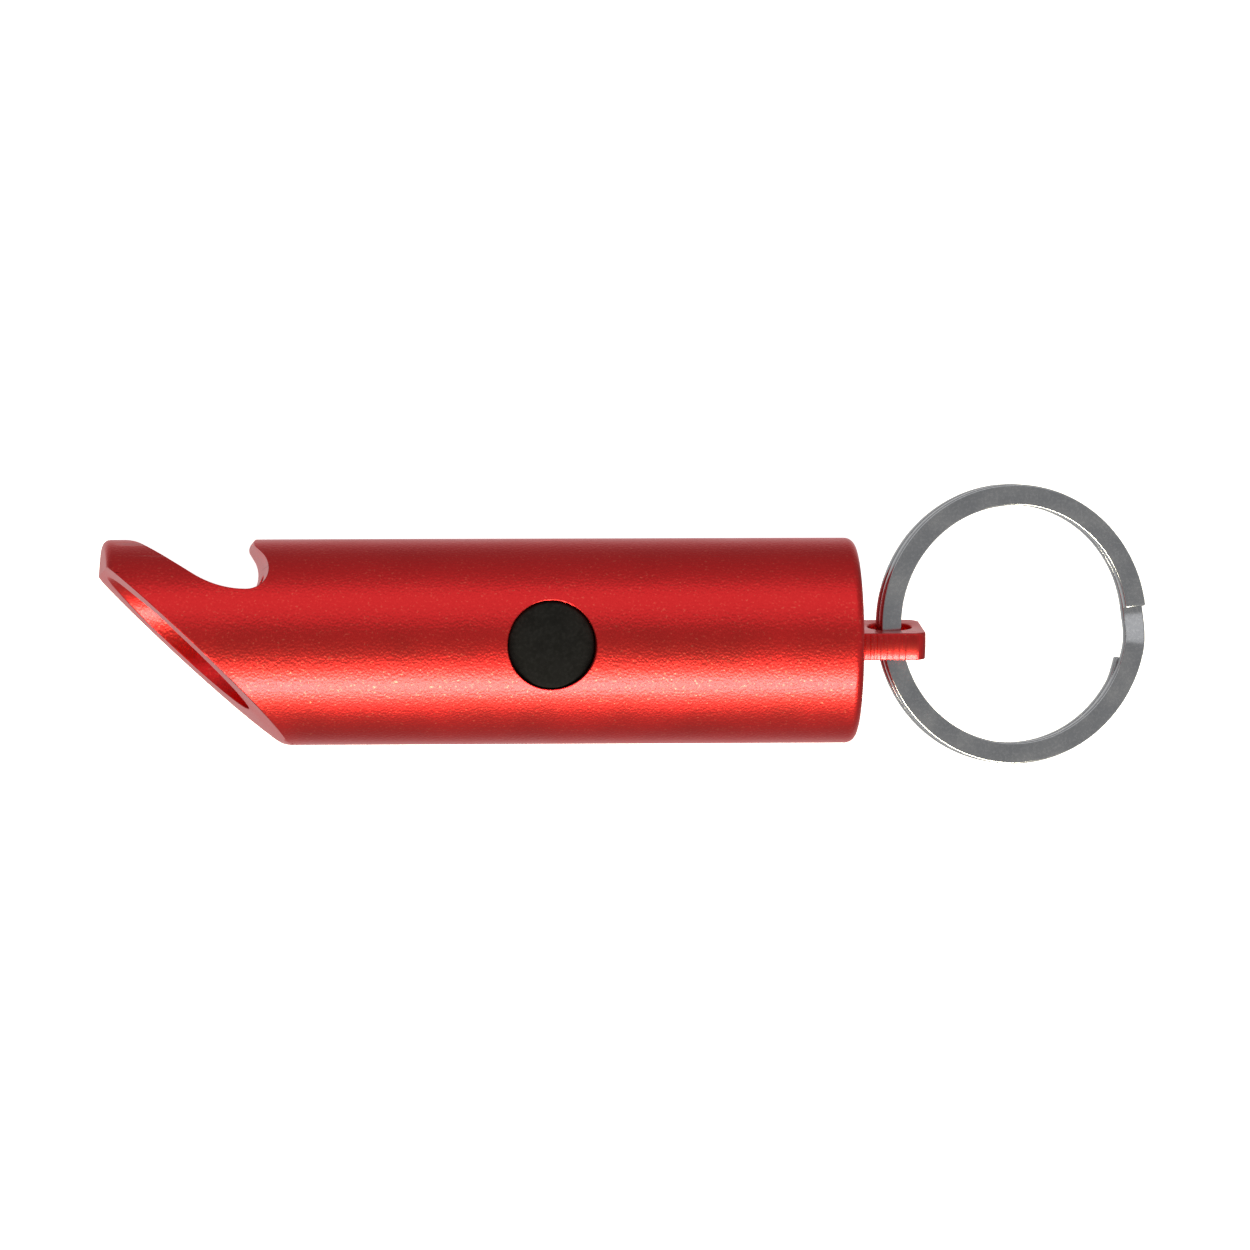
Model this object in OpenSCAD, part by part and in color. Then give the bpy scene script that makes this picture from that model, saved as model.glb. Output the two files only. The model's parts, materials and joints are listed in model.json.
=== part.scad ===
// Keychain flashlight with a bottle opener cut into its mouth, in millimetres.
// +X runs along the barrel to the key ring, +Z points out of the push button,
// +Y points to the opener's side. The origin is where the button's axis crosses
// the barrel's axis.

/* [Barrel] */
// Outside diameter of the barrel
barrel_d = 18; // [17.5:0.1:19]
// Length of the barrel from the opener's tip to the plug end
barrel_len = 66; // [65:0.5:70]
// Distance from the button's axis to the opener's tip
tip_reach = 38.6; // [38:0.1:40]
// Diameter of the open mouth bore in front of the lamp
mouth_bore_d = 11.6; // [11:0.1:11.8]
// Diameter of the bore that holds the lamp and the cells
body_bore_d = 12.6; // [12.5:0.05:12.7]
// Distance from the button's axis forward to the shoulder behind the mouth
shoulder_reach = 17; // [16.5:0.1:17.5]
// Radius of the outer edge at the plug end
rear_edge_r = 0.9; // [0.4:0.1:1.2]
// Radius of the outer edge at the opener's tip
tip_edge_r = 0.7; // [0.3:0.1:1]

/* [Mouth and opener] */
// Turn of the mouth and the opener about the barrel, away from the button
mouth_roll = 6.5; // [0:0.5:10]
// Angle between the slanted mouth and the barrel's axis
mouth_angle = 43.4; // [40:0.1:48]
// Height over the axis where the slanted mouth meets the tip face
mouth_lip_h = 6.2; // [5.8:0.1:7]
// Radius where the slanted mouth runs into the barrel's underside
mouth_heel_r = 1.8; // [0.8:0.1:2.4]
// Distance from the button's axis to the middle of the opener's pocket
pocket_reach = 26.6; // [26:0.1:27]
// Height of the pocket's middle over the axis
pocket_h = 6.2; // [6:0.1:6.4]
// Radius of the pocket
pocket_r = 2.1; // [2:0.05:2.2]
// Fall of the ramp from the tip to the pocket
ramp_angle = 35; // [33:0.5:37]
// Radius of the sweep from the ramp into the pocket
ramp_sweep_r = 8; // [7.5:0.1:8.5]
// Radius of the brow between the tip and the ramp
brow_r = 3; // [2:0.1:3.5]
// Direction of the pocket's undercut, which faces the cap's skirt
undercut_angle = 129.3; // [125:0.1:132]
// Radius of the opener's tooth
tooth_r = 0.6; // [0.4:0.05:0.7]

/* [Push button] */
// Diameter of the button's head
button_d = 7.6; // [7:0.1:7.7]
// Diameter of the hole in the barrel for the button
button_hole_d = 7.8; // [7.72:0.02:7.8]
// Height of the head's edge over the barrel's axis
button_edge_z = 8.05; // [7.8:0.05:8.4]
// Rise of the head's crown over its edge
button_crown = 0.25; // [0.1:0.05:0.5]
// Radius of the head's edge
button_edge_r = 0.25; // [0.1:0.05:0.5]
// Diameter of the flange that keeps the button inside the barrel
button_flange_d = 9; // [8.6:0.1:9]
// Height of the flange's top over the barrel's axis
button_flange_z = 4.3; // [4:0.05:4.3]
// Thickness of the flange
button_flange_t = 0.85; // [0.6:0.05:0.9]
// Thickness of the head over its hollow
button_head_t = 1.2; // [0.9:0.1:1.5]
// Full travel of the button
button_travel = 0.5; // [0.3:0.05:0.5]

/* [Switch] */
// Width of the square switch
switch_w = 6; // [5.8:0.1:6.2]
// Height of the switch housing over the circuit board
switch_h = 3.2; // [3:0.1:3.3]
// Thickness of the switch's cover plate
cover_t = 0.2; // [0.15:0.05:0.25]
// Diameter of the plunger's stem
plunger_d = 3.3; // [3:0.1:3.4]
// Height of the plunger's top over the barrel's axis
plunger_z = 2.6; // [2.5:0.05:2.7]
// Diameter of the well in the housing
well_d = 4.2; // [4:0.1:4.4]
// Thickness of the snap dome
dome_t = 0.1; // [0.08:0.01:0.12]

/* [Lamp] */
// Diameter of the lamp's lens
led_d = 5; // [4.8:0.1:5]
// Diameter of the lamp's base flange
led_flange_d = 5.8; // [5.6:0.1:5.8]
// Length of the lamp from its base to its tip
led_len = 8.6; // [8.2:0.1:8.8]
// Distance between the lamp's two leads
lead_pitch = 2.54; // [2.3:0.02:2.6]
// Width of each square lead
lead_w = 0.5; // [0.4:0.05:0.55]
// Depth of the reflector
reflector_len = 6; // [5.8:0.1:6.2]
// Diameter of the reflector's front opening
reflector_mouth_d = 10.8; // [10:0.1:11]
// Thickness of the clear window
window_t = 1.5; // [1.2:0.1:1.6]
// Thickness of the gasket between window and shoulder
gasket_t = 0.5; // [0.4:0.05:0.6]

/* [Electronics] */
// Length of the plastic carrier
carrier_len = 18; // [17.8:0.1:18.1]
// Width of the circuit board
board_w = 8.4; // [8:0.1:8.5]
// Thickness of the circuit board
board_t = 1; // [0.8:0.1:1]
// Thickness of the sheet metal contacts
contact_t = 0.2; // [0.15:0.01:0.2]

/* [Cells] */
// Diameter of one button cell
cell_d = 11.6; // [11.5:0.05:11.6]
// Thickness of one button cell
cell_t = 3.05; // [3:0.01:3.1]
// Diameter of the contact spring's wire
spring_wire_d = 0.44; // [0.36:0.02:0.5]
// Turns of the contact spring
spring_turns = 3.5; // [3:0.5:4]

/* [End plug] */
// Length of the plug inside the barrel
plug_len = 7; // [6.8:0.1:7.2]
// Diameter of the plug's head, flush in the barrel's end
plug_head_d = 14.6; // [14.4:0.1:14.8]
// Thickness of the plug's head
plug_head_t = 1.25; // [1.1:0.05:1.4]
// Outside diameter of the plug's thread
thread_d = 13.6; // [13.5:0.05:13.7]
// Pitch of the thread
thread_pitch = 1; // [0.9:0.05:1]
// Section diameter of the sealing ring
seal_section_d = 0.86; // [0.8:0.02:0.9]
// Diameter of the stub that the lug is milled from
lug_d = 7.4; // [7:0.1:7.8]
// Length of the lug past the barrel's end
lug_len = 6; // [5.8:0.1:6.4]
// Thickness of the lug between its two flats
lug_t = 2.4; // [2.2:0.1:2.6]
// Turn of the lug about the barrel, towards the button
lug_turn = 8; // [0:1:10]
// Diameter of the hole in the lug
lug_hole_d = 3.9; // [3.8:0.1:4]
// Distance of the hole from the barrel's end
lug_hole_reach = 3.1; // [3:0.1:3.3]

/* [Split ring] */
// Outside diameter of the split ring
ring_d = 24.6; // [24:0.1:25.4]
// Width of the ring's strip across its flat
ring_strip_w = 1.85; // [1.7:0.05:1.9]
// Thickness of one coil of the strip
ring_strip_t = 0.93; // [0.85:0.01:0.95]
// Angle at which the front coil ends
ring_end_angle = 7; // [5:1:20]
// Angle that the strip takes to cross from one coil to the other
ring_cross_angle = 19; // [16:1:22]
// Angle by which the ring hangs below the barrel's axis
ring_droop = 11.5; // [5:0.5:20]
// Offset of the ring's middle from the barrel's axis
ring_offset = 1.3; // [0:0.1:1.5]

/* [Hidden] */
$fn = 96;
// Overshoot of a cutter past the face that it opens
over = 1;
// Clearance of a piece that slides into the body bore, and of a running fit
fit = 0.1;
// Gap that keeps two pieces that only meet from sharing space
hair = 0.02;

barrel_r = barrel_d / 2;
tip_x = -tip_reach;
rear_x = barrel_len - tip_reach;
mouth_bore_r = mouth_bore_d / 2;
body_bore_r = body_bore_d / 2;
inner_r = body_bore_r - fit;
shoulder_x = -shoulder_reach;
window_x = shoulder_x + gasket_t;
reflector_x = window_x + window_t;
carrier_x = reflector_x + reflector_len;
carrier_end_x = carrier_x + carrier_len;
cells_x = carrier_end_x + contact_t;
cells_end_x = cells_x + 3 * cell_t;

thread_r = thread_d / 2;
thread_bore_r = thread_r + fit;
thread_depth = 0.5;
plug_x = rear_x - plug_len;
head_x = rear_x - plug_head_t;
head_r = plug_head_d / 2;
seal_r = seal_section_d / 2;
seal_x = head_x - seal_r - 0.08;
seal_ring_r = thread_bore_r - 1.5 * hair - seal_r;
recess_r = 4.6;
recess_depth = 1.5;
lug_x = rear_x + lug_hole_reach;

board_z = -3;
board_top_z = board_z + board_t;
board_x = -4.6;
board_end_x = 6.8;
housing_z = board_top_z + switch_h;
well_z = -0.4;
plunger_r = plunger_d / 2;
plunger_foot_z = 0.3;
plunger_foot_t = 0.5;
dome_rim_r = 1.9;
led_x = carrier_x + carrier_len / 2 - 4.8;
led_tip_x = led_x - led_len;
led_r = led_d / 2;
led_flange_t = 1;
lead_down_x = led_x + 0.85;
anvil_x = led_x - 4.8;
anvil_front_x = led_x - 3.6;
pad_x = 5.6;
pad_w = 1.6;

ring_r = ring_d / 2;
ring_mid_r = ring_r - ring_strip_w / 2;
ring_in_r = ring_r - ring_strip_w;
ring_gap = 0.04;
ring_sweep = 360 - ring_cross_angle;
ring_aim = asin(ring_offset / ring_mid_r);

// Points on an arc round [cx, cy] from one angle to another, in steps of about 6 degrees
function arc(cx, cy, r, from, to) =
    let (steps = ceil(abs(to - from) / 6))
    [for (i = [0 : steps])
        let (a = from + (to - from) * i / steps)
        [cx + r * cos(a), cy + r * sin(a)]];

// A solid turned about the barrel's axis, from [radius, x] points
module turned(profile) {
    rotate([0, 90, 0])
        rotate_extrude()
            polygon(profile);
}

// A disc or a bore on the barrel's axis, from one x to another
module rod(r, from_x, to_x) {
    translate([from_x, 0, 0])
        rotate([0, 90, 0])
            cylinder(r = r, h = to_x - from_x);
}

// A washer or a tube on the barrel's axis
module tube(r_out, r_in, from_x, to_x) {
    difference() {
        rod(r_out, from_x, to_x);
        rod(r_in, from_x - over, to_x + over);
    }
}

// A box from its lowest to its highest corner
module block(low, high) {
    translate(low)
        cube(high - low);
}

// ---- Barrel ----

// The barrel's blank, with its two rounded outer edges
module barrel_blank() {
    turned(concat(
        [[0, tip_x]],
        arc(barrel_r - tip_edge_r, tip_x + tip_edge_r, tip_edge_r, -90, 0),
        arc(barrel_r - rear_edge_r, rear_x - rear_edge_r, rear_edge_r, 0, 90),
        [[0, rear_x]]
    ));
}

// All that is in front of the slanted mouth, and its rounded heel
module mouth_cutter() {
    run = 1 / tan(mouth_angle);
    heel_x = tip_x + (mouth_lip_h + barrel_r) * run;
    // The heel's centre is one radius inside both the slant and the underside
    centre_x = heel_x + mouth_heel_r * (1 - cos(mouth_angle)) / sin(mouth_angle);
    // The heel stops short of grazing the underside
    heel = arc(centre_x, mouth_heel_r - barrel_r, mouth_heel_r, 180 + 90 - mouth_angle, 262);
    last = heel[len(heel) - 1];
    translate([0, 0, -barrel_r - over])
        linear_extrude(barrel_d + 2 * over)
            polygon(concat(
                [[tip_x - 3 * run, mouth_lip_h + 3]],
                heel,
                [[last[0], -barrel_r - over], [tip_x - 3 * run, -barrel_r - over]]
            ));
}

// The bottle opener's notch: brow, ramp, sweep, pocket, undercut and tooth
module opener_cutter() {
    pocket_x = -pocket_reach;
    sweep_y = pocket_h - pocket_r + ramp_sweep_r;
    // Where the ramp's line reaches the top of the barrel
    ramp_top_x = pocket_x - ramp_sweep_r * sin(ramp_angle)
        - (barrel_r - sweep_y + ramp_sweep_r * cos(ramp_angle)) / tan(ramp_angle);
    brow_x = ramp_top_x - brow_r * tan(ramp_angle / 2);
    // The tooth's centre is one radius under the top and one behind the undercut
    out = undercut_angle - 90;
    tooth_y = barrel_r - tooth_r;
    start = [pocket_x + pocket_r * cos(out), pocket_h + pocket_r * sin(out)];
    tooth_x = start[0] + (tooth_r - (tooth_y - start[1]) * sin(out)) / cos(out);
    outline = concat(
        arc(brow_x, barrel_r - brow_r, brow_r, 84, 90 - ramp_angle),
        arc(pocket_x, sweep_y, ramp_sweep_r, 270 - ramp_angle, 264),
        arc(pocket_x, pocket_h, pocket_r, 270, 360 + out),
        arc(tooth_x, tooth_y, tooth_r, 180 + out, 102)
    );
    last = outline[len(outline) - 1];
    translate([0, 0, -barrel_r - over])
        linear_extrude(barrel_d + 2 * over)
            polygon(concat(outline, [
                [last[0], barrel_r + over],
                [outline[0][0], barrel_r + over]
            ]));
}

module barrel() {
    color("firebrick")
        difference() {
            barrel_blank();
            rod(mouth_bore_r, tip_x - over, shoulder_x + over);
            rod(body_bore_r, shoulder_x, rear_x + over);
            rod(thread_bore_r, plug_x - 0.5, rear_x + over);
            rod(head_r + fit, head_x, rear_x + over);
            rotate([-mouth_roll, 0, 0]) {
                mouth_cutter();
                opener_cutter();
            }
            cylinder(r = button_hole_d / 2, h = barrel_r + over);
        }
}

// ---- Push button and switch ----

module rubber_button() {
    r = button_d / 2;
    flange_r = button_flange_d / 2;
    flange_low_z = button_flange_z - button_flange_t;
    hollow_r = 3;
    roof_z = button_edge_z - button_head_t;
    // The crown is a shallow sphere through the edge and the middle
    crown_edge_r = r - button_edge_r;
    crown_r = (crown_edge_r * crown_edge_r / button_crown + button_crown) / 2;
    crown_z = button_edge_z + button_crown - crown_r;
    crown_half = asin(crown_edge_r / crown_r);
    color("dimgray")
        rotate_extrude()
            polygon(concat(
                [[0, plunger_z + hair], [plunger_r, plunger_z + hair], [plunger_r, roof_z]],
                [[hollow_r, roof_z], [hollow_r, flange_low_z]],
                [[flange_r, flange_low_z], [flange_r, button_flange_z], [r, button_flange_z]],
                [[r, button_edge_z - button_edge_r]],
                [for (i = [0 : 8])
                    let (a = 90 - crown_half * (1 - i / 8))
                    [crown_r * cos(a), crown_z + crown_r * sin(a)]]
            ));
}

module switch_plunger() {
    color("black")
        rotate_extrude()
            polygon([
                [0, plunger_foot_z],
                [well_d / 2 - fit, plunger_foot_z],
                [well_d / 2 - fit, plunger_foot_z + plunger_foot_t],
                [plunger_r, plunger_foot_z + plunger_foot_t],
                [plunger_r, plunger_z],
                [0, plunger_z]
            ]);
}

// The snap dome: a shallow shell that stands on its rim under the plunger
module switch_dome() {
    rise = plunger_foot_z - hair - well_z - dome_t;
    r = (dome_rim_r * dome_rim_r / rise + rise) / 2;
    half = asin(dome_rim_r / r);
    color("gainsboro")
        translate([0, 0, plunger_foot_z - hair - dome_t - r])
            rotate_extrude()
                polygon(concat(
                    [for (i = [0 : 8]) let (a = half * i / 8) [(r + dome_t) * sin(a), (r + dome_t) * cos(a)]],
                    [for (i = [8 : -1 : 0]) let (a = half * i / 8) [r * sin(a), r * cos(a)]]
                ));
}

module switch_housing() {
    half = switch_w / 2;
    color("darkslategray")
        difference() {
            block([-half, -half, board_top_z], [half, half, housing_z]);
            translate([0, 0, well_z])
                cylinder(r = well_d / 2, h = housing_z - well_z + over);
        }
}

module switch_cover_plate() {
    half = switch_w / 2 - 0.1;
    color("silver")
        difference() {
            block([-half, -half, housing_z], [half, half, housing_z + cover_t]);
            translate([0, 0, housing_z - over])
                cylinder(r = plunger_r + fit / 2, h = cover_t + 2 * over);
        }
}

// Four legs, each bent down beside the housing and out onto the board
module switch_legs() {
    half = switch_w / 2;
    leg_w = 0.7;
    leg_y = 2.25;
    foot = 1.2;
    color("silver")
        for (end = [0, 180], side = [-1, 1])
            rotate([0, 0, end])
                translate([0, side * leg_y - leg_w / 2, 0]) {
                    block([half, 0, board_top_z], [half + foot, leg_w, board_top_z + contact_t]);
                    block([half, 0, board_top_z], [half + contact_t, leg_w, board_top_z + 0.9]);
                }
}

// ---- Circuit board and what is on it ----

module circuit_board() {
    color("seagreen")
        block([board_x, -board_w / 2, board_z], [board_end_x, board_w / 2, board_top_z]);
}

module chip_resistor() {
    size = [2, 1.25, 0.5];
    color("black")
        translate([4.5, 2, board_top_z])
            cube(size);
}

// The lamp's two leads, from the board up to the lamp's base and forward into it
module lead(side) {
    half = lead_w / 2;
    y = side * lead_pitch / 2;
    block([anvil_front_x, y - half, -half], [lead_down_x + half, y + half, half]);
    block([lead_down_x - half, y - half, board_top_z], [lead_down_x + half, y + half, half]);
}

module solder_joints() {
    y = lead_pitch / 2;
    color("lightgray") {
        for (side = [-1, 1])
            difference() {
                translate([lead_down_x, side * y, board_top_z])
                    cylinder(r1 = 0.6, r2 = 0.38, h = 0.8);
                lead(side);
            }
        translate([pad_x + 0.6, 0, board_top_z + contact_t])
            cylinder(r1 = 0.6, r2 = 0.3, h = 0.3);
    }
}

// The plastic carrier: a plug with a stepped hole for the lamp and a deep pocket
module module_carrier() {
    pocket_y = board_w / 2 + 0.15;
    side_r = button_flange_d / 2 + 0.2;
    slot_y = pad_w / 2 + fit;
    spring_x = 3.4;
    color("whitesmoke")
        difference() {
            rod(inner_r, carrier_x, carrier_end_x);
            rod(led_r + fit, carrier_x - over, led_x);
            rod(led_flange_d / 2 + fit, led_x - led_flange_t, led_x + over);
            block([led_x - 0.2, -pocket_y, board_z], [board_end_x + 0.2, pocket_y, inner_r + over]);
            translate([0, 0, button_flange_z - button_flange_t - button_travel - 0.3])
                cylinder(r = side_r, h = inner_r);
            block(
                [board_end_x, -slot_y, board_top_z],
                [carrier_end_x + over, slot_y, board_top_z + contact_t + fit]
            );
            block([spring_x, -slot_y, -inner_r - over], [board_end_x, slot_y, board_z + over]);
        }
}

// A bent strip from the board's underside to the wall of the bore
module ground_spring() {
    t = contact_t;
    low_z = -body_bore_r + 0.08;
    foot_x = 3.6;
    knee_x = 5.9;
    color("goldenrod")
        translate([0, pad_w / 2, 0])
            rotate([90, 0, 0])
                linear_extrude(pad_w)
                    polygon([
                        [foot_x, board_z], [foot_x, board_z - t],
                        [knee_x - 0.4, board_z - t], [foot_x, low_z + t],
                        [foot_x, low_z], [foot_x + 0.9, low_z],
                        [knee_x + 0.3, board_z - t / 2], [knee_x, board_z]
                    ]);
}

// The strip that joins the first cell to the board
module front_contact() {
    disc_r = 4;
    color("goldenrod") {
        rod(disc_r, carrier_end_x, cells_x);
        block(
            [pad_x, -pad_w / 2, board_top_z],
            [carrier_end_x, pad_w / 2, board_top_z + contact_t]
        );
    }
}

// ---- Lamp ----

// The metal inside the lamp: a cup on the cathode and a flag on the anode
module lead_metal() {
    cup_r = 0.7;
    lead(-1);
    lead(1);
    block([anvil_x, -1.5, -0.25], [anvil_front_x, 0.3, 0.25]);
    difference() {
        rod(cup_r, anvil_x - 0.5, anvil_x);
        turned([
            [0, anvil_x - 0.2], [0.28, anvil_x - 0.2],
            [0.6, anvil_x - 0.5 - hair], [0, anvil_x - 0.5 - hair]
        ]);
    }
    block([anvil_x + 0.2, 0.9, -0.25], [anvil_front_x, 1.5, 0.25]);
}

module die_block() {
    half = 0.18;
    block([anvil_x - 0.42, -half, -half], [anvil_x - 0.2, half, half]);
}

module led_lens() {
    color("white")
        difference() {
            turned(concat(
                [[0, led_x], [led_flange_d / 2, led_x]],
                [[led_flange_d / 2, led_x - led_flange_t], [led_r, led_x - led_flange_t]],
                arc(0, led_tip_x + led_r, led_r, 0, -90)
            ));
            lead_metal();
            die_block();
        }
}

module led_leadframe() {
    color("silver")
        lead_metal();
}

module led_die() {
    color("gold")
        die_block();
}

// A bowl on a parabola that runs from the lamp's hole to the window
module reflector() {
    throat_r = led_r + fit;
    mouth_r = reflector_mouth_d / 2;
    color("lightsteelblue")
        turned(concat(
            [[inner_r, reflector_x], [inner_r, carrier_x]],
            [for (i = [0 : 16])
                let (s = i / 16)
                [
                    sqrt(throat_r * throat_r + (mouth_r * mouth_r - throat_r * throat_r) * s),
                    carrier_x - reflector_len * s
                ]]
        ));
}

module front_window() {
    color("azure")
        rod(inner_r, window_x, reflector_x);
}

module window_gasket() {
    color("black")
        tube(inner_r, mouth_bore_r - 0.2, shoulder_x, window_x);
}

// ---- Cells ----

module cell_sleeve() {
    color("ivory")
        tube(inner_r, cell_d / 2 + fit, carrier_end_x, cells_end_x);
}

// The can: a cup whose rim is turned in over the grommet
module cell_can(number) {
    x = cells_x + (number - 1) * cell_t;
    r = cell_d / 2;
    color("silver")
        turned([
            [0, x], [r - 0.3, x], [r, x + 0.3], [r, x + 2.55], [r - 0.25, x + 2.8],
            [r - 0.5, x + 2.8], [r - 0.3, x + 2.5], [r - 0.3, x + 0.3], [0, x + 0.3]
        ]);
}

// The cap: a shallow inverted cup that stands out of the can
module cell_cap(number) {
    x = cells_x + (number - 1) * cell_t;
    r = cell_d / 2 - 0.8;
    color("silver")
        turned([
            [0, x + cell_t], [r - 0.3, x + cell_t], [r, x + cell_t - 0.3], [r, x + 1],
            [r - 0.25, x + 1], [r - 0.25, x + cell_t - 0.25], [0, x + cell_t - 0.25]
        ]);
}

// The grommet: an insulating ring between can and cap
module cell_grommet(number) {
    x = cells_x + (number - 1) * cell_t;
    r = cell_d / 2;
    color("midnightblue")
        turned([
            [r - 0.8, x + 0.6], [r - 0.3, x + 0.6], [r - 0.3, x + 2.5],
            [r - 0.5, x + 2.8], [r - 0.8, x + 2.8]
        ]);
}

// The core: the pressed charge that fills can and cap
module cell_core(number) {
    x = cells_x + (number - 1) * cell_t;
    r = cell_d / 2;
    color("dimgray")
        turned([
            [0, x + 0.3], [r - 0.3, x + 0.3], [r - 0.3, x + 0.6], [r - 0.8, x + 0.6],
            [r - 0.8, x + 1], [r - 1.05, x + 1], [r - 1.05, x + cell_t - 0.25],
            [0, x + cell_t - 0.25]
        ]);
}

// ---- End plug ----

// A conical coil from the last cell to the bottom of the plug's recess
module contact_spring() {
    wire_r = spring_wire_d / 2;
    low_x = cells_end_x + wire_r + hair;
    high_x = plug_x + recess_depth - wire_r;
    wide_r = recess_r - wire_r - fit;
    narrow_r = 2;
    sides = 8;
    steps = spring_turns * 20;
    // The coil's first and last half turns lie flat, and the pitch is even between them
    function climb(t) = min(1, max(0, (t * spring_turns - 0.5) / (spring_turns - 1)));
    rings = [for (i = [0 : steps])
        let (
            t = i / steps,
            a = 360 * spring_turns * t,
            r = narrow_r + (wide_r - narrow_r) * climb(t),
            x = low_x + (high_x - low_x) * climb(t)
        )
        [for (k = [0 : sides - 1])
            let (
                b = 360 * k / sides,
                out = r + wire_r * cos(b)
            )
            [x + wire_r * sin(b), out * cos(a), out * sin(a)]]];
    points = [for (ring = rings) each ring];
    walls = [for (i = [0 : steps - 1], k = [0 : sides - 1])
        let (n = (k + 1) % sides)
        [i * sides + k, i * sides + n, (i + 1) * sides + n, (i + 1) * sides + k]];
    color("gold")
        polyhedron(
            points = points,
            faces = concat(
                [[for (k = [sides - 1 : -1 : 0]) k]],
                walls,
                [[for (k = [0 : sides - 1]) steps * sides + k]]
            )
        );
}

module plug_o_ring() {
    color("black")
        translate([seal_x, 0, 0])
            rotate([0, 90, 0])
                rotate_extrude()
                    translate([seal_ring_r, 0])
                        circle(r = seal_r, $fn = 32);
}

// The turned plug: thread, seal groove and head
module plug_body() {
    root_r = thread_r - thread_depth;
    groove_r = seal_ring_r - seal_r - hair;
    groove_half = seal_r + 0.1;
    first_x = plug_x + 0.6;
    crests = floor((seal_x - groove_half - 0.2 - first_x) / thread_pitch);
    turned(concat(
        [[0, plug_x + recess_depth], [recess_r, plug_x + recess_depth], [recess_r, plug_x]],
        [[root_r - 0.2, plug_x]],
        [for (i = [0 : crests - 1], corner = [0 : 3])
            let (
                x = first_x + i * thread_pitch,
                r = (corner == 1 || corner == 2) ? thread_r : root_r
            )
            [r, x + [0, 0.4, 0.55, 0.95][corner] * thread_pitch]],
        [[root_r, seal_x - groove_half], [groove_r, seal_x - groove_half]],
        [[groove_r, seal_x + groove_half], [head_r, seal_x + groove_half]],
        [[head_r, rear_x - 0.15], [head_r - 0.15, rear_x], [0, rear_x]]
    ));
}

// The lug: a turned stub with a rounded end, milled to two flats and drilled
module lug() {
    r = lug_d / 2;
    end_x = rear_x + lug_len;
    end_edge_r = 1;
    rotate([lug_turn, 0, 0])
        difference() {
            intersection() {
                turned(concat(
                    [[0, rear_x - 0.5], [r, rear_x - 0.5]],
                    arc(r - end_edge_r, end_x - end_edge_r, end_edge_r, 0, 90),
                    [[0, end_x]]
                ));
                block([rear_x - over, -lug_t / 2, -barrel_r], [end_x + over, lug_t / 2, barrel_r]);
            }
            translate([lug_x, -lug_t / 2 - over, 0])
                rotate([-90, 0, 0])
                    cylinder(r = lug_hole_d / 2, h = lug_t + 2 * over);
        }
}

module end_plug() {
    color("firebrick")
        union() {
            plug_body();
            lug();
        }
}

// ---- Split ring ----

// One coil of the strip, from its low face upwards
module ring_coil(low_z) {
    translate([0, 0, low_z])
        rotate([0, 0, ring_end_angle])
            rotate_extrude(angle = ring_sweep)
                translate([ring_in_r, 0])
                    square([ring_strip_w, ring_strip_t]);
}

// The stretch of strip that slopes from the front coil to the rear coil, drawn a hair narrower
module ring_crossing() {
    reach = ring_r * 2;
    lap = 0.5;
    middle = ring_end_angle - ring_cross_angle / 2;
    slope = atan((ring_strip_t + ring_gap) / (ring_mid_r * sin(ring_cross_angle / 2) * 2));
    intersection() {
        translate([0, 0, -reach / 2])
            rotate([0, 0, middle - ring_cross_angle / 2 - lap])
                rotate_extrude(angle = ring_cross_angle + 2 * lap)
                    translate([ring_in_r + hair, 0])
                        square([ring_strip_w - 2 * hair, reach]);
        rotate([0, 0, middle])
            rotate([-slope, 0, 0])
                block([0, -reach, -ring_strip_t / 2], [reach, reach, ring_strip_t / 2]);
    }
}

module split_ring() {
    color("slategray")
        translate([lug_x, 0, 0])
            rotate([0, ring_droop, 0])
                translate([ring_mid_r * cos(ring_aim), ring_offset, 0])
                    union() {
                        ring_coil(ring_gap / 2);
                        ring_coil(-ring_gap / 2 - ring_strip_t);
                        ring_crossing();
                    }
}

barrel();
rubber_button();
switch_plunger();
switch_dome();
switch_housing();
switch_cover_plate();
switch_legs();
circuit_board();
chip_resistor();
solder_joints();
module_carrier();
ground_spring();
front_contact();
led_lens();
led_leadframe();
led_die();
reflector();
front_window();
window_gasket();
cell_sleeve();
cell_can(1);  // cell_can_1
cell_cap(1);  // cell_cap_1
cell_grommet(1);  // cell_grommet_1
cell_core(1);  // cell_core_1
cell_can(2);  // cell_can_2
cell_cap(2);  // cell_cap_2
cell_grommet(2);  // cell_grommet_2
cell_core(2);  // cell_core_2
cell_can(3);  // cell_can_3
cell_cap(3);  // cell_cap_3
cell_grommet(3);  // cell_grommet_3
cell_core(3);  // cell_core_3
contact_spring();
plug_o_ring();
end_plug();
split_ring();
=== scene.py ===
"""Looks for a keychain flashlight: a red anodised tube with a bottle opener cut into its mouth.

Everything is in metres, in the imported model's frame: +X runs along the barrel to the key ring,
+Y points to the opener's notch and +Z points out of the push button.
"""

import json
import logging
import math
from collections.abc import Callable, Iterable
from dataclasses import dataclass, field
from enum import Enum

import bpy
from mathutils import Matrix, Vector


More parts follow.
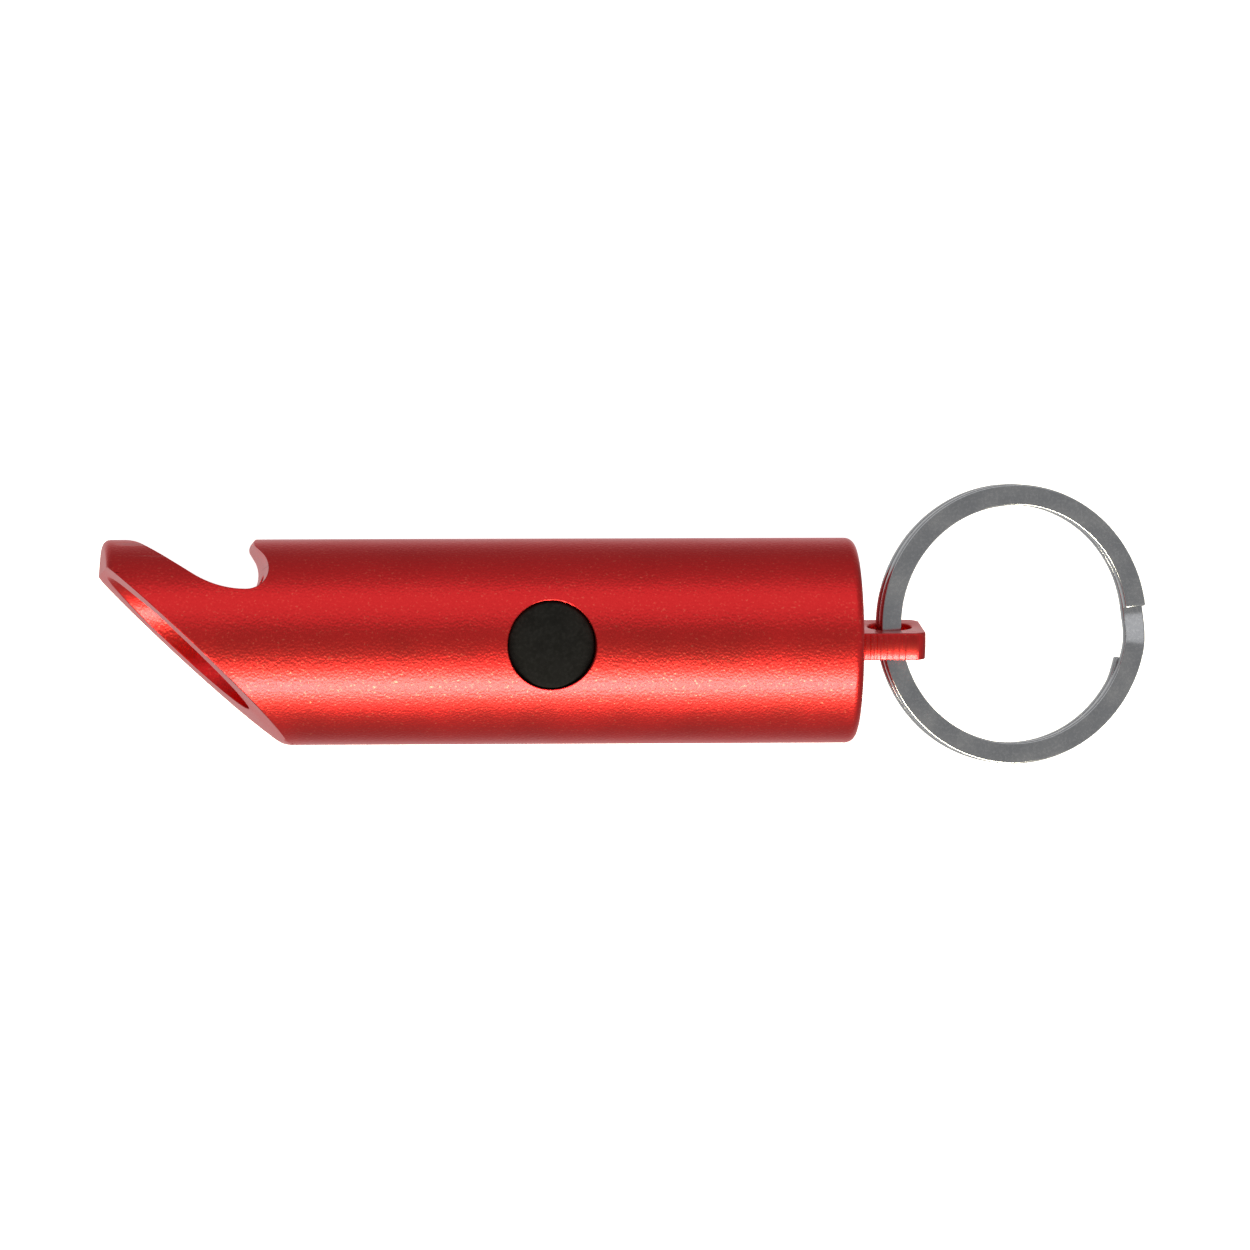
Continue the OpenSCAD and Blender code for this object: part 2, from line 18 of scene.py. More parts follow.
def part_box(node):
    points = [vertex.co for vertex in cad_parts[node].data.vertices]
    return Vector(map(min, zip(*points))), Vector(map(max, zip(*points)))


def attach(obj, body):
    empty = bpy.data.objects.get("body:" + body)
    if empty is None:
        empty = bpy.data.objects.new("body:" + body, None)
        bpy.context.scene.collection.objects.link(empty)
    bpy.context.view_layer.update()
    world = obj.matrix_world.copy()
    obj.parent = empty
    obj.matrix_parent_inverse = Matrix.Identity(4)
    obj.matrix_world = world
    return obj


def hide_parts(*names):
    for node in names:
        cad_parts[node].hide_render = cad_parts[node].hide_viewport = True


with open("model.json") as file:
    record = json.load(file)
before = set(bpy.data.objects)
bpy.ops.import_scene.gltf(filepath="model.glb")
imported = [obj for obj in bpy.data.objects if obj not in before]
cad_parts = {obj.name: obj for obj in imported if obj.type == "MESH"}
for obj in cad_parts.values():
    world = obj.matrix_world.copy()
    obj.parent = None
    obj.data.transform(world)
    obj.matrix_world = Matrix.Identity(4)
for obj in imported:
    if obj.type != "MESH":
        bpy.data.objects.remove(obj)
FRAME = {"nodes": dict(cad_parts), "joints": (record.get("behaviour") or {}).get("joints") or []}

LOG = logging.getLogger("flashlight")
MM = 0.001

# Faces with more sides than this are split before a bevel, because a hole may be cut in them
HOLED_FACE_SIDES = 99
# Corners this near are merged before a bevel, and edges shorter than the second length go
MERGE_REACH = 0.015 * MM
SLIVER = 0.002 * MM
# How far a wall's corner may lie off its cylinder, and the least cosines between a wall's face,
# or a corner's shaded normal, and the true radius
WALL_SLACK = 0.02 * MM
FACE_LEAN = 0.998
CORNER_LEAN = 0.88

Outline = list[tuple[float, float]]
Triple = tuple[float, float, float]
Colour = Triple
Socket = bpy.types.NodeSocket


# ---------------------------------------------------------------------------
# Small modelling helpers
# ---------------------------------------------------------------------------


def arc(centre: tuple[float, float], radius: float, start: float, end: float, steps: int) -> Outline:
    """Points on an arc, in the outline's own plane.

    Args:
        centre: The arc's centre.
        radius: The arc's radius.
        start: First angle in degrees.
        end: Last angle in degrees.
        steps: Number of stretches between the first point and the last.

    Returns:
        The points in order, both ends included.
    """
    points = []
    for i in range(steps + 1):
        angle = math.radians(start + (end - start) * i / steps)
        points.append((centre[0] + radius * math.cos(angle), centre[1] + radius * math.sin(angle)))
    return points


def deselect() -> None:
    """Leaves object mode with nothing selected."""
    if bpy.context.object and bpy.context.object.mode != "OBJECT":
        bpy.ops.object.mode_set(mode="OBJECT")
    bpy.ops.object.select_all(action="DESELECT")


def activate(piece: bpy.types.Object) -> None:
    """Makes one object the only selected and active one."""
    deselect()
    piece.select_set(True)
    bpy.context.view_layer.objects.active = piece


def start_wire(name: str, at: Vector) -> bpy.types.Object:
    """Starts a new mesh as a single vertex, and leaves it in edit mode with the vertex selected.

    Args:
        name: Name of the new object.
        at: Where the vertex lies.

    Returns:
        The new object, in edit mode.
    """
    deselect()
    bpy.ops.mesh.primitive_plane_add(size=MM, location=(0, 0, 0))
    piece = bpy.context.object
    piece.name = name
    piece.data.name = name
    bpy.ops.object.mode_set(mode="EDIT")
    bpy.ops.mesh.select_mode(type="VERT")
    bpy.ops.mesh.select_all(action="SELECT")
    bpy.ops.mesh.merge(type="CENTER")
    bpy.ops.mesh.select_all(action="SELECT")
    bpy.ops.transform.translate(value=at)
    return piece


def draw_wire(name: str, points: list[Vector], closed: bool) -> bpy.types.Object:
    """Draws a chain of edges by extruding one vertex from point to point.

    Args:
        name: Name of the new object.
        points: The points in order.
        closed: True to join the last point to the first.

    Returns:
        The new object, in edit mode with all of it selected.
    """
    piece = start_wire(name, points[0])
    path = points + [points[0]] if closed else points
    for here, there in zip(path, path[1:], strict=False):
        bpy.ops.mesh.extrude_region_move(TRANSFORM_OT_translate={"value": there - here})
    bpy.ops.mesh.select_all(action="SELECT")
    bpy.ops.mesh.remove_doubles(threshold=0.0004 * MM)
    bpy.ops.mesh.select_all(action="SELECT")
    return piece


def close_up() -> None:
    """Merges doubles, points the faces outwards and leaves edit mode."""
    bpy.ops.mesh.select_all(action="SELECT")
    bpy.ops.mesh.remove_doubles(threshold=0.001 * MM)
    bpy.ops.mesh.normals_make_consistent(inside=False)
    bpy.ops.object.mode_set(mode="OBJECT")


def smooth(piece: bpy.types.Object, angle: float = 32.0) -> None:
    """Shades a piece smooth, with sharp edges past an angle and large faces kept true.

    Args:
        piece: The object to shade.
        angle: Least angle of a sharp edge, in degrees.
    """
    activate(piece)
    bpy.ops.object.shade_smooth_by_angle(angle=math.radians(angle))
    apply_modifier(piece, "WEIGHTED_NORMAL", weight=50, keep_sharp=True, mode="FACE_AREA")


def lathe(
    name: str, outline: Outline, steps: int, closed: bool, axis: str = "X", phase: float = 90.0
) -> bpy.types.Object:
    """Turns an outline about the barrel's axis or the button's axis.

    Args:
        name: Name of the new object.
        outline: Points as (radius, height along the axis), in metres.
        steps: Number of stretches round the circle.
        closed: True when the outline is a loop that doesn't touch the axis.
        axis: "X" for the barrel's axis or "Z" for the button's.
        phase: Where the seam lies about X, in degrees from +Y.

    Returns:
        The turned piece, in object mode.
    """
    if axis == "X":
        across, up = math.cos(math.radians(phase)), math.sin(math.radians(phase))
        points = [Vector((h, r * across, r * up)) for r, h in outline]
        about = Vector((1, 0, 0))
    else:
        points = [Vector((r, 0, h)) for r, h in outline]
        about = Vector((0, 0, 1))
    piece = draw_wire(name, points, closed)
    bpy.ops.mesh.spin(steps=steps, angle=2 * math.pi, center=(0, 0, 0), axis=about)
    close_up()
    return piece


def prism(name: str, outline: Outline, low: float, high: float) -> bpy.types.Object:
    """Extrudes a closed outline in the XY plane along Z.

    Args:
        name: Name of the new object.
        outline: Points as (x, y), in metres.
        low: Height of the lower face.
        high: Height of the upper face.

    Returns:
        The solid, in object mode.
    """
    piece = draw_wire(name, [Vector((x, y, low)) for x, y in outline], closed=True)
    bpy.ops.mesh.edge_face_add()
    bpy.ops.mesh.extrude_region_move(TRANSFORM_OT_translate={"value": (0, 0, high - low)})
    close_up()
    return piece


def turn(piece: bpy.types.Object, degrees: float, axis: str, about: Vector) -> None:
    """Turns a mesh about an axis through a point, by the right-hand rule.

    Args:
        piece: The object, which sits at the origin.
        degrees: The turn.
        axis: "X", "Y" or "Z".
        about: A point on the axis.
    """
    matrix = (
        Matrix.Translation(about)
        @ Matrix.Rotation(math.radians(degrees), 4, axis)
        @ Matrix.Translation(-about)
    )
    piece.data.transform(matrix)
    piece.data.update()


def apply_modifier(piece: bpy.types.Object, kind: str, **settings: object) -> None:
    """Adds one modifier, sets it and applies it.

    Args:
        piece: The object to change.
        kind: The modifier's type, such as "BEVEL".
        **settings: Values for the modifier's properties.
    """
    activate(piece)
    modifier = piece.modifiers.new(kind.title(), kind)
    for key, value in settings.items():
        setattr(modifier, key, value)
    bpy.ops.object.modifier_apply(modifier=modifier.name)


def cut(piece: bpy.types.Object, cutters: Iterable[bpy.types.Object]) -> None:
    """Subtracts each cutter from a piece, and deletes the cutter."""
    for cutter in cutters:
        apply_modifier(piece, "BOOLEAN", operation="DIFFERENCE", object=cutter, solver="EXACT")
        bpy.data.objects.remove(cutter, do_unlink=True)


def split_holed_faces() -> None:
    """Cuts the widest flat faces, which may have a hole in them, into triangles, in edit mode."""
    bpy.ops.mesh.select_mode(type="FACE")
    bpy.ops.mesh.select_all(action="DESELECT")
    bpy.ops.mesh.select_face_by_sides(number=HOLED_FACE_SIDES, type="GREATER")
    bpy.ops.mesh.quads_convert_to_tris(quad_method="BEAUTY", ngon_method="BEAUTY")
    bpy.ops.mesh.select_mode(type="VERT")


def soften(piece: bpy.types.Object, width: float, segments: int, angle: float = 35.0) -> None:
    """Bevels every edge sharper than an angle.

    Args:
        piece: The object to change.
        width: Width of the bevel in metres.
        segments: Faces across the bevel.
        angle: Least angle between two faces, in degrees.
    """
    activate(piece)
    bpy.ops.object.mode_set(mode="EDIT")
    split_holed_faces()
    bpy.ops.mesh.select_all(action="SELECT")
    bpy.ops.mesh.remove_doubles(threshold=MERGE_REACH)
    bpy.ops.mesh.dissolve_degenerate(threshold=SLIVER)
    bpy.ops.object.mode_set(mode="OBJECT")
    apply_modifier(
        piece,
        "BEVEL",
        width=width,
        segments=segments,
        limit_method="ANGLE",
        angle_limit=math.radians(angle),
        use_clamp_overlap=False,
        loop_slide=False,
    )


def true_round(piece: bpy.types.Object, radii: list[float]) -> None:
    """Gives the walls of a tube about X the normals of a true cylinder.

    Args:
        piece: The smooth shaded object.
        radii: The walls' radii, in metres.
    """
    mesh = piece.data
    walls = set()
    for face in mesh.polygons:
        out = Vector((0, face.center.y, face.center.z)).normalized()
        spots = [mesh.vertices[i].co for i in face.vertices]
        reach = [math.hypot(spot.y, spot.z) for spot in spots]
        on_wall = [any(abs(r - radius) < WALL_SLACK for radius in radii) for r in reach]
        if abs(out.dot(face.normal)) > FACE_LEAN and 2 * sum(on_wall) >= len(on_wall):
            walls.update(face.vertices)
    normals = [normal.vector.copy() for normal in mesh.corner_normals]
    for loop in mesh.loops:
        spot = mesh.vertices[loop.vertex_index].co
        radial = Vector((0, spot.y, spot.z)).normalized()
        lean = radial.dot(normals[loop.index])
        if loop.vertex_index in walls and abs(lean) > CORNER_LEAN:
            normals[loop.index] = radial if lean > 0 else -radial
    mesh.normals_split_custom_set([tuple(normal) for normal in normals])


def join(pieces: list[bpy.types.Object]) -> bpy.types.Object:
    """Joins several objects into the first one.

    Args:
        pieces: The objects, the one to keep first.

    Returns:
        The first object, with all the meshes.
    """
    activate(pieces[0])
    for piece in pieces[1:]:
        piece.select_set(True)
    bpy.ops.object.join()
    return pieces[0]


# ---------------------------------------------------------------------------
# Finishes
# ---------------------------------------------------------------------------


class Grain(Enum):
    """The fine texture that a finish leaves on the surface."""

    BLASTED = "blasted"
    TURNED = "turned"
    BRUSHED = "brushed"
    MOULDED = "moulded"
    POLISHED = "polished"


@dataclass(frozen=True)
class Finish:
    """One finish: its colours, its gloss and its grain.

    Sizes are in metres. `speck` is how far the colour drifts to `second` in small spots, and
    `cloud` is how far it drifts over broad patches.
    """

    name: str
    slot: str
    colour: Colour
    second: Colour
    metallic: float = 0.0
    roughness: float = 0.5
    roughness_spread: float = 0.08
    grain: Grain = Grain.MOULDED
    grain_size: float = 0.2 * MM
    grain_depth: float = 0.01 * MM
    speck: float = 0.2
    cloud: float = 0.2
    cloud_size: float = 6 * MM
    coat: float = 0.0
    coat_roughness: float = 0.1
    ior: float = 1.5
    transmission: float = 0.0
    stretch: Triple = (1.0, 1.0, 1.0)
    glint: float = 0.0
    glint_speck: float = 0.0
    glint_colour: Colour = (1.0, 0.72, 0.42)
    glint_roughness: float = 0.38

    def build(self) -> bpy.types.Material:
        """Makes the finish's node material.

        Returns:
            The material, made once and then shared.
        """
        made = bpy.data.materials.get(self.name)
        if made:
            return made
        material = bpy.data.materials.new(self.name)
        material.use_nodes = True
        bench = NodeBench(material)
        place = bench.object_place(self.stretch)
        fine = bench.noise(place, 1 / self.grain_size, detail=3.0)
        broad = bench.noise(place, 1 / self.cloud_size, detail=2.0)
        specks = bench.ramp(fine, 0.42, 0.72)
        drift = bench.mix_value(specks, self.speck, bench.ramp(broad, 0.3, 0.7), self.cloud)
        bench.feed("Base Color", bench.mix_colour(drift, self.colour, self.second))
        low = self.roughness - self.roughness_spread
        high = self.roughness + self.roughness_spread
        bench.feed("Roughness", bench.rescale(broad, low, high))
        bench.feed("Normal", self.relief(bench, place, fine))
        bench.set("Metallic", self.metallic)
        bench.set("IOR", self.ior)
        bench.set("Coat Weight", self.coat)
        bench.set("Coat Roughness", self.coat_roughness)
        bench.set("Transmission Weight", self.transmission)
        if self.glint:
            bench.add_glint(self, bench.ramp(fine, 0.60, 0.74))
        return material

    def relief(self, bench: "NodeBench", place: Socket, fine: Socket) -> Socket:
        """Picks the height pattern for the finish's grain.

        Args:
            bench: The node bench of the material being made.
            place: The surface point that patterns read.
            fine: The fine noise that the colour already uses.

        Returns:
            The bump's normal output.
        """
        height = fine
        if self.grain is Grain.TURNED:
            height = bench.rings(place, 1 / self.grain_size)
        elif self.grain is Grain.BLASTED:
            height = bench.pits(place, 1 / self.grain_size)
        elif self.grain is Grain.POLISHED:
            height = bench.noise(place, 0.2 / self.grain_size, detail=1.0)
        return bench.bump(height, self.grain_depth)


class NodeBench:
    """Adds and wires the nodes of one material."""

    def __init__(self, material: bpy.types.Material) -> None:
        """Keeps the material's node tree and its Principled node."""
        self.tree = material.node_tree
        self.shader = self.tree.nodes["Principled BSDF"]

    def add(self, kind: str) -> bpy.types.Node:
        """Adds one node of a kind."""
        return self.tree.nodes.new(kind)

    def link(self, source: Socket, target: Socket) -> None:
        """Wires one socket to another."""
        self.tree.links.new(source, target)

    def set(self, socket: str, value: float) -> None:
        """Sets a constant on the shader."""
        self.shader.inputs[socket].default_value = value

    def feed(self, socket: str, source: Socket) -> None:
        """Wires a pattern to the shader."""
        self.link(source, self.shader.inputs[socket])

    def add_glint(self, finish: Finish, specks: Socket) -> None:
        """Lays a thin bright film over the shader, stronger in fine specks.

        Args:
            finish: The finish that says how strong and what colour.
            specks: Where the specks are, from 0 to 1.
        """
        film = self.add("ShaderNodeBsdfPrincipled")
        film.inputs["Base Color"].default_value = (*finish.glint_colour, 1.0)
        film.inputs["Metallic"].default_value = 1.0
        film.inputs["Roughness"].default_value = finish.glint_roughness
        self.link(self.shader.inputs["Normal"].links[0].from_socket, film.inputs["Normal"])
        share = self.add("ShaderNodeMath")
        share.operation = "MULTIPLY_ADD"
        share.inputs[1].default_value = finish.glint_speck
        share.inputs[2].default_value = finish.glint
        self.link(specks, share.inputs[0])
        blend = self.add("ShaderNodeMixShader")
        self.link(share.outputs[0], blend.inputs["Fac"])
        self.link(self.shader.outputs[0], blend.inputs[1])
        self.link(film.outputs[0], blend.inputs[2])
        self.link(blend.outputs[0], self.tree.nodes["Material Output"].inputs["Surface"])

    def object_place(self, stretch: Colour) -> Socket:
        """The surface point in object space, stretched along the axes.

        Args:
            stretch: Scale along X, Y and Z.

        Returns:
            The mapped point.
        """
        place = self.add("ShaderNodeTexCoord")
        mapping = self.add("ShaderNodeMapping")
        mapping.inputs["Scale"].default_value = stretch
        self.link(place.outputs["Object"], mapping.inputs["Vector"])
        return mapping.outputs["Vector"]

    def texture(self, kind: str, place: Socket, output: str, **settings: float) -> Socket:
        """Adds one texture node.

        Args:
            kind: The node's type.
            place: The point that it reads.
            output: Name of the output to use.
            **settings: Constants for its inputs, by name.

        Returns:
            The pattern, from 0 to 1.
        """
        node = self.add(kind)
        for name, value in settings.items():
            node.inputs[name].default_value = value
        self.link(place, node.inputs["Vector"])
        return node.outputs[output]

    def noise(self, place: Socket, scale: float, detail: float) -> Socket:
        """A noise with so many features per metre and so many octaves."""
        return self.texture("ShaderNodeTexNoise", place, "Fac", Scale=scale, Detail=detail)

    def pits(self, place: Socket, scale: float) -> Socket:
        """The overlapping dents that glass beads leave, so many per metre."""
        height = self.texture("ShaderNodeTexVoronoi", place, "Distance", Scale=scale)
        height.node.feature = "SMOOTH_F1"
        height.node.inputs["Smoothness"].default_value = 0.6
        return height

    def rings(self, place: Socket, scale: float) -> Socket:
        """The fine rings that a lathe tool leaves round the barrel's axis.

        Args:
            place: The point that they read.
            scale: Rings per metre.

        Returns:
            Height from 0 to 1.
        """
        wave_scale = scale * math.pi / 10
        height = self.texture(
            "ShaderNodeTexWave", place, "Fac", Scale=wave_scale, Distortion=0.6, Detail=2.0
        )
        height.node.wave_type = "BANDS"
        height.node.bands_direction = "X"
        return height

    def ramp(self, value: Socket, low: float, high: float) -> Socket:
        """Stretches a value so that low becomes 0 and high becomes 1.

        Args:
            value: The value to stretch.
            low: Where the result is 0.
            high: Where the result is 1.

        Returns:
            The clamped result.
        """
        node = self.add("ShaderNodeMapRange")
        node.interpolation_type = "SMOOTHSTEP"
        node.inputs["From Min"].default_value = low
        node.inputs["From Max"].default_value = high
        self.link(value, node.inputs["Value"])
        return node.outputs["Result"]

    def rescale(self, value: Socket, low: float, high: float) -> Socket:
        """Maps 0.3 to 0.7 of a noise onto a range.

        Args:
            value: The noise.
            low: Result at the low end.
            high: Result at the high end.

        Returns:
            The mapped value.
        """
        node = self.add("ShaderNodeMapRange")
        node.inputs["From Min"].default_value = 0.3
        node.inputs["From Max"].default_value = 0.7
        node.inputs["To Min"].default_value = low
        node.inputs["To Max"].default_value = high
        self.link(value, node.inputs["Value"])
        return node.outputs["Result"]

    def mix_value(
        self, first: Socket, share: float, second: Socket, other: float
    ) -> Socket:
        """Adds two patterns, each by its own share, and clamps the sum.

        Args:
            first: The first pattern.
            share: How much of it counts.
            second: The second pattern.
            other: How much of that counts.

        Returns:
            The sum, at most 1.
        """
        scaled = self.add("ShaderNodeMath")
        scaled.operation = "MULTIPLY"
        scaled.inputs[1].default_value = share
        self.link(first, scaled.inputs[0])
        total = self.add("ShaderNodeMath")
        total.operation = "MULTIPLY_ADD"
        total.use_clamp = True
        total.inputs[1].default_value = other
        self.link(second, total.inputs[0])
        self.link(scaled.outputs[0], total.inputs[2])
        return total.outputs[0]

    def mix_colour(self, share: Socket, low: Colour, high: Colour) -> Socket:
        """Blends two colours by a pattern.

        Args:
            share: The pattern from 0 to 1.
            low: Colour at 0.
            high: Colour at 1.

        Returns:
            The blended colour.
        """
        node = self.add("ShaderNodeMix")
        node.data_type = "RGBA"
        colours = [s for s in node.inputs if s.type == "RGBA"]
        colours[0].default_value = (*low, 1.0)
        colours[1].default_value = (*high, 1.0)
        self.link(share, node.inputs["Factor"])
        return next(s for s in node.outputs if s.type == "RGBA")

    def bump(self, height: Socket, depth: float) -> Socket:
        """Turns a height pattern into a normal.

        Args:
            height: The pattern from 0 to 1.
            depth: Height of 1, in metres.

        Returns:
            The bump's normal.
        """
        node = self.add("ShaderNodeBump")
        node.inputs["Strength"].default_value = 1.0
        node.inputs["Distance"].default_value = depth
        self.link(height, node.inputs["Height"])
        return node.outputs["Normal"]


RED = (0.80, 0.003, 0.016)
RED_ANODISED = Finish(
    name="red_anodised",
    slot="red_anodised_aluminium",
    colour=RED,
    second=(0.95, 0.014, 0.026),
    metallic=1.0,
    roughness=0.31,
    roughness_spread=0.03,
    grain=Grain.BLASTED,
    grain_size=0.22 * MM,
    grain_depth=0.020 * MM,
    speck=0.5,
    cloud=0.15,
    coat=0.12,
    coat_roughness=0.32,
    glint=0.034,
    glint_speck=0.10,
)
RED_TURNED = Finish(
    name="red_turned",
    slot="red_anodised_aluminium",
    colour=RED,
    second=(0.88, 0.03, 0.03),
    metallic=1.0,
    roughness=0.30,
    glint=0.03,
    glint_speck=0.06,
    grain=Grain.TURNED,
    grain_size=0.2 * MM,
    grain_depth=0.006 * MM,
    speck=0.25,
    cloud=0.15,
    coat=0.3,
    coat_roughness=0.15,
)
BUTTON_RUBBER = Finish(
    name="button_rubber",
    slot="black_silicone_rubber",
    colour=(0.0035, 0.0035, 0.0037),
    second=(0.009, 0.009, 0.0095),
    roughness=0.75,
    ior=1.17,
    grain_size=0.3 * MM,
    grain_depth=0.012 * MM,
    speck=0.5,
    cloud=0.5,
    cloud_size=1.2 * MM,
)
RING_NICKEL = Finish(
    name="ring_nickel",
    slot="nickel_plated_steel",
    colour=(0.46, 0.47, 0.49),
    second=(0.68, 0.68, 0.69),
    metallic=1.0,
    roughness=0.20,
    roughness_spread=0.05,
    grain=Grain.BRUSHED,
    grain_size=0.25 * MM,
    grain_depth=0.0025 * MM,
    speck=0.35,
    cloud=0.3,
    cloud_size=3 * MM,
)
SEAL_RUBBER = Finish(
    name="seal_rubber",
    slot="black_rubber",
    colour=(0.012, 0.012, 0.012),
    second=(0.02, 0.02, 0.02),
    roughness=0.42,
    grain_size=0.15 * MM,
    grain_depth=0.003 * MM,
)
BLACK_PLASTIC = Finish(
    name="black_plastic",
    slot="black_plastic",
    colour=(0.014, 0.014, 0.016),
    second=(0.03, 0.03, 0.032),
    roughness=0.45,
    grain_size=0.1 * MM,
    grain_depth=0.004 * MM,
)
WHITE_PLASTIC = Finish(
    name="white_plastic",
    slot="white_plastic",
    colour=(0.78, 0.78, 0.75),
    second=(0.70, 0.69, 0.65),
    roughness=0.42,
    grain_size=0.12 * MM,
    grain_depth=0.003 * MM,
)
BRIGHT_STEEL = Finish(
    name="bright_steel",
    slot="spring_steel",
    colour=(0.66, 0.66, 0.67),
    second=(0.74, 0.74, 0.75),
    metallic=1.0,
    roughness=0.24,
    grain=Grain.BRUSHED,
    grain_size=0.06 * MM,
    grain_depth=0.001 * MM,
    stretch=(0.1, 1.0, 1.0),
)
TINNED_STEEL = Finish(
    name="tinned_steel",
    slot="tinned_steel",
    colour=(0.62, 0.62, 0.64),
    second=(0.74, 0.74, 0.75),
    metallic=1.0,
    roughness=0.32,
    grain_size=0.08 * MM,
    grain_depth=0.002 * MM,
)
SOLDER = Finish(
    name="solder",
    slot="solder",
    colour=(0.55, 0.55, 0.56),
    second=(0.72, 0.72, 0.73),
    metallic=1.0,
    roughness=0.28,
    grain_size=0.12 * MM,
    grain_depth=0.004 * MM,
)
BOARD_GREEN = Finish(
    name="board_green",
    slot="green_board",
    colour=(0.008, 0.10, 0.035),
    second=(0.03, 0.19, 0.07),
    roughness=0.30,
    grain=Grain.BRUSHED,
    grain_size=0.35 * MM,
    grain_depth=0.005 * MM,
    speck=0.6,
    stretch=(1.0, 0.25, 1.0),
)
RESISTOR = Finish(
    name="resistor_glaze",
    slot="black_ceramic",
    colour=(0.02, 0.02, 0.024),
    second=(0.05, 0.05, 0.055),
    roughness=0.35,
    grain_size=0.2 * MM,
    grain_depth=0.003 * MM,
)
BRASS_STRIP = Finish(
    name="brass_strip",
    slot="brass_strip",
    colour=(0.72, 0.50, 0.20),
    second=(0.62, 0.40, 0.15),
    metallic=1.0,
    roughness=0.28,
    grain=Grain.BRUSHED,
    grain_size=0.05 * MM,
    grain_depth=0.001 * MM,
    stretch=(0.1, 1.0, 1.0),
)
SPRING_WIRE = Finish(
    name="spring_wire",
    slot="gold_plated_spring",
    colour=(0.80, 0.60, 0.28),
    second=(0.70, 0.50, 0.22),
    metallic=1.0,
    roughness=0.22,
    grain_size=0.05 * MM,
    grain_depth=0.001 * MM,
)
CELL_STEEL = Finish(
    name="cell_steel",
    slot="cell_steel",
    colour=(0.70, 0.70, 0.69),
    second=(0.60, 0.60, 0.60),
    metallic=1.0,
    roughness=0.25,
    grain=Grain.TURNED,
    grain_size=0.15 * MM,
    grain_depth=0.001 * MM,
)
CELL_NYLON = Finish(
    name="cell_nylon",
    slot="cell_nylon",
    colour=(0.02, 0.03, 0.09),
    second=(0.03, 0.05, 0.13),
    roughness=0.35,
)
CELL_CHARGE = Finish(
    name="cell_charge",
    slot="cell_charge",
    colour=(0.02, 0.02, 0.02),
    second=(0.06, 0.06, 0.06),
    roughness=0.8,
    grain_size=0.1 * MM,
    grain_depth=0.02 * MM,
)
CARD = Finish(
    name="waxed_card",
    slot="insulating_card",
    colour=(0.62, 0.56, 0.44),
    second=(0.52, 0.46, 0.34),
    roughness=0.55,
    grain_size=0.2 * MM,
    grain_depth=0.006 * MM,
    stretch=(1.0, 0.3, 0.3),
)
PHOSPHOR = Finish(
    name="phosphor",
    slot="yellow_phosphor",
    colour=(0.80, 0.62, 0.08),
    second=(0.85, 0.75, 0.20),
    roughness=0.6,
    grain_size=0.05 * MM,
    grain_depth=0.002 * MM,
)
MIRROR = Finish(
    name="metallised_bowl",
    slot="metallised_plastic",
    colour=(0.80, 0.81, 0.83),
    second=(0.88, 0.88, 0.89),
    metallic=1.0,
    roughness=0.10,
    roughness_spread=0.03,
    grain=Grain.POLISHED,
    grain_size=0.3 * MM,
    grain_depth=0.003 * MM,
)
CLEAR_EPOXY = Finish(
    name="clear_epoxy",
    slot="clear_epoxy",
    colour=(0.96, 0.97, 1.0),
    second=(0.90, 0.93, 0.97),
    roughness=0.06,
    roughness_spread=0.02,
    grain=Grain.POLISHED,
    grain_size=0.5 * MM,
    grain_depth=0.001 * MM,
    ior=1.52,
    transmission=1.0,
)
CLEAR_ACRYLIC = Finish(
    name="clear_acrylic",
    slot="clear_acrylic",
    colour=(0.97, 0.98, 1.0),
    second=(0.93, 0.95, 0.98),
    roughness=0.04,
    roughness_spread=0.015,
    grain=Grain.POLISHED,
    grain_size=0.8 * MM,
    grain_depth=0.0008 * MM,
    ior=1.49,
    transmission=1.0,
)


def dress(piece: bpy.types.Object, finish: Finish) -> None:
    """Gives a piece one finish all over.

    Args:
        piece: The object to dress.
        finish: The finish.
    """
    piece.data.materials.clear()
    piece.data.materials.append(finish.build())


def stand_for(piece: bpy.types.Object, finish: Finish, node: str, body: str) -> bpy.types.Object:
    """Dresses a piece and lets it stand for a node and ride on its body.

    Args:
        piece: The new piece.
        finish: Its finish.
        node: The node that it replaces.
        body: The body that it moves with.

    Returns:
        The piece.
    """
    dress(piece, finish)
    piece.location = (0, 0, 0)
    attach(piece, body)
    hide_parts(node)
    LOG.info("%s stands for %s on %s: %d faces", piece.name, node, body, len(piece.data.polygons))
    return piece


# ---------------------------------------------------------------------------
# Sub-assemblies
# ---------------------------------------------------------------------------


def joint_pivot(name: str) -> list[float]:
    """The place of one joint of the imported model."""
    return next(joint["pos_m"] for joint in FRAME["joints"] if joint["name"] == name)


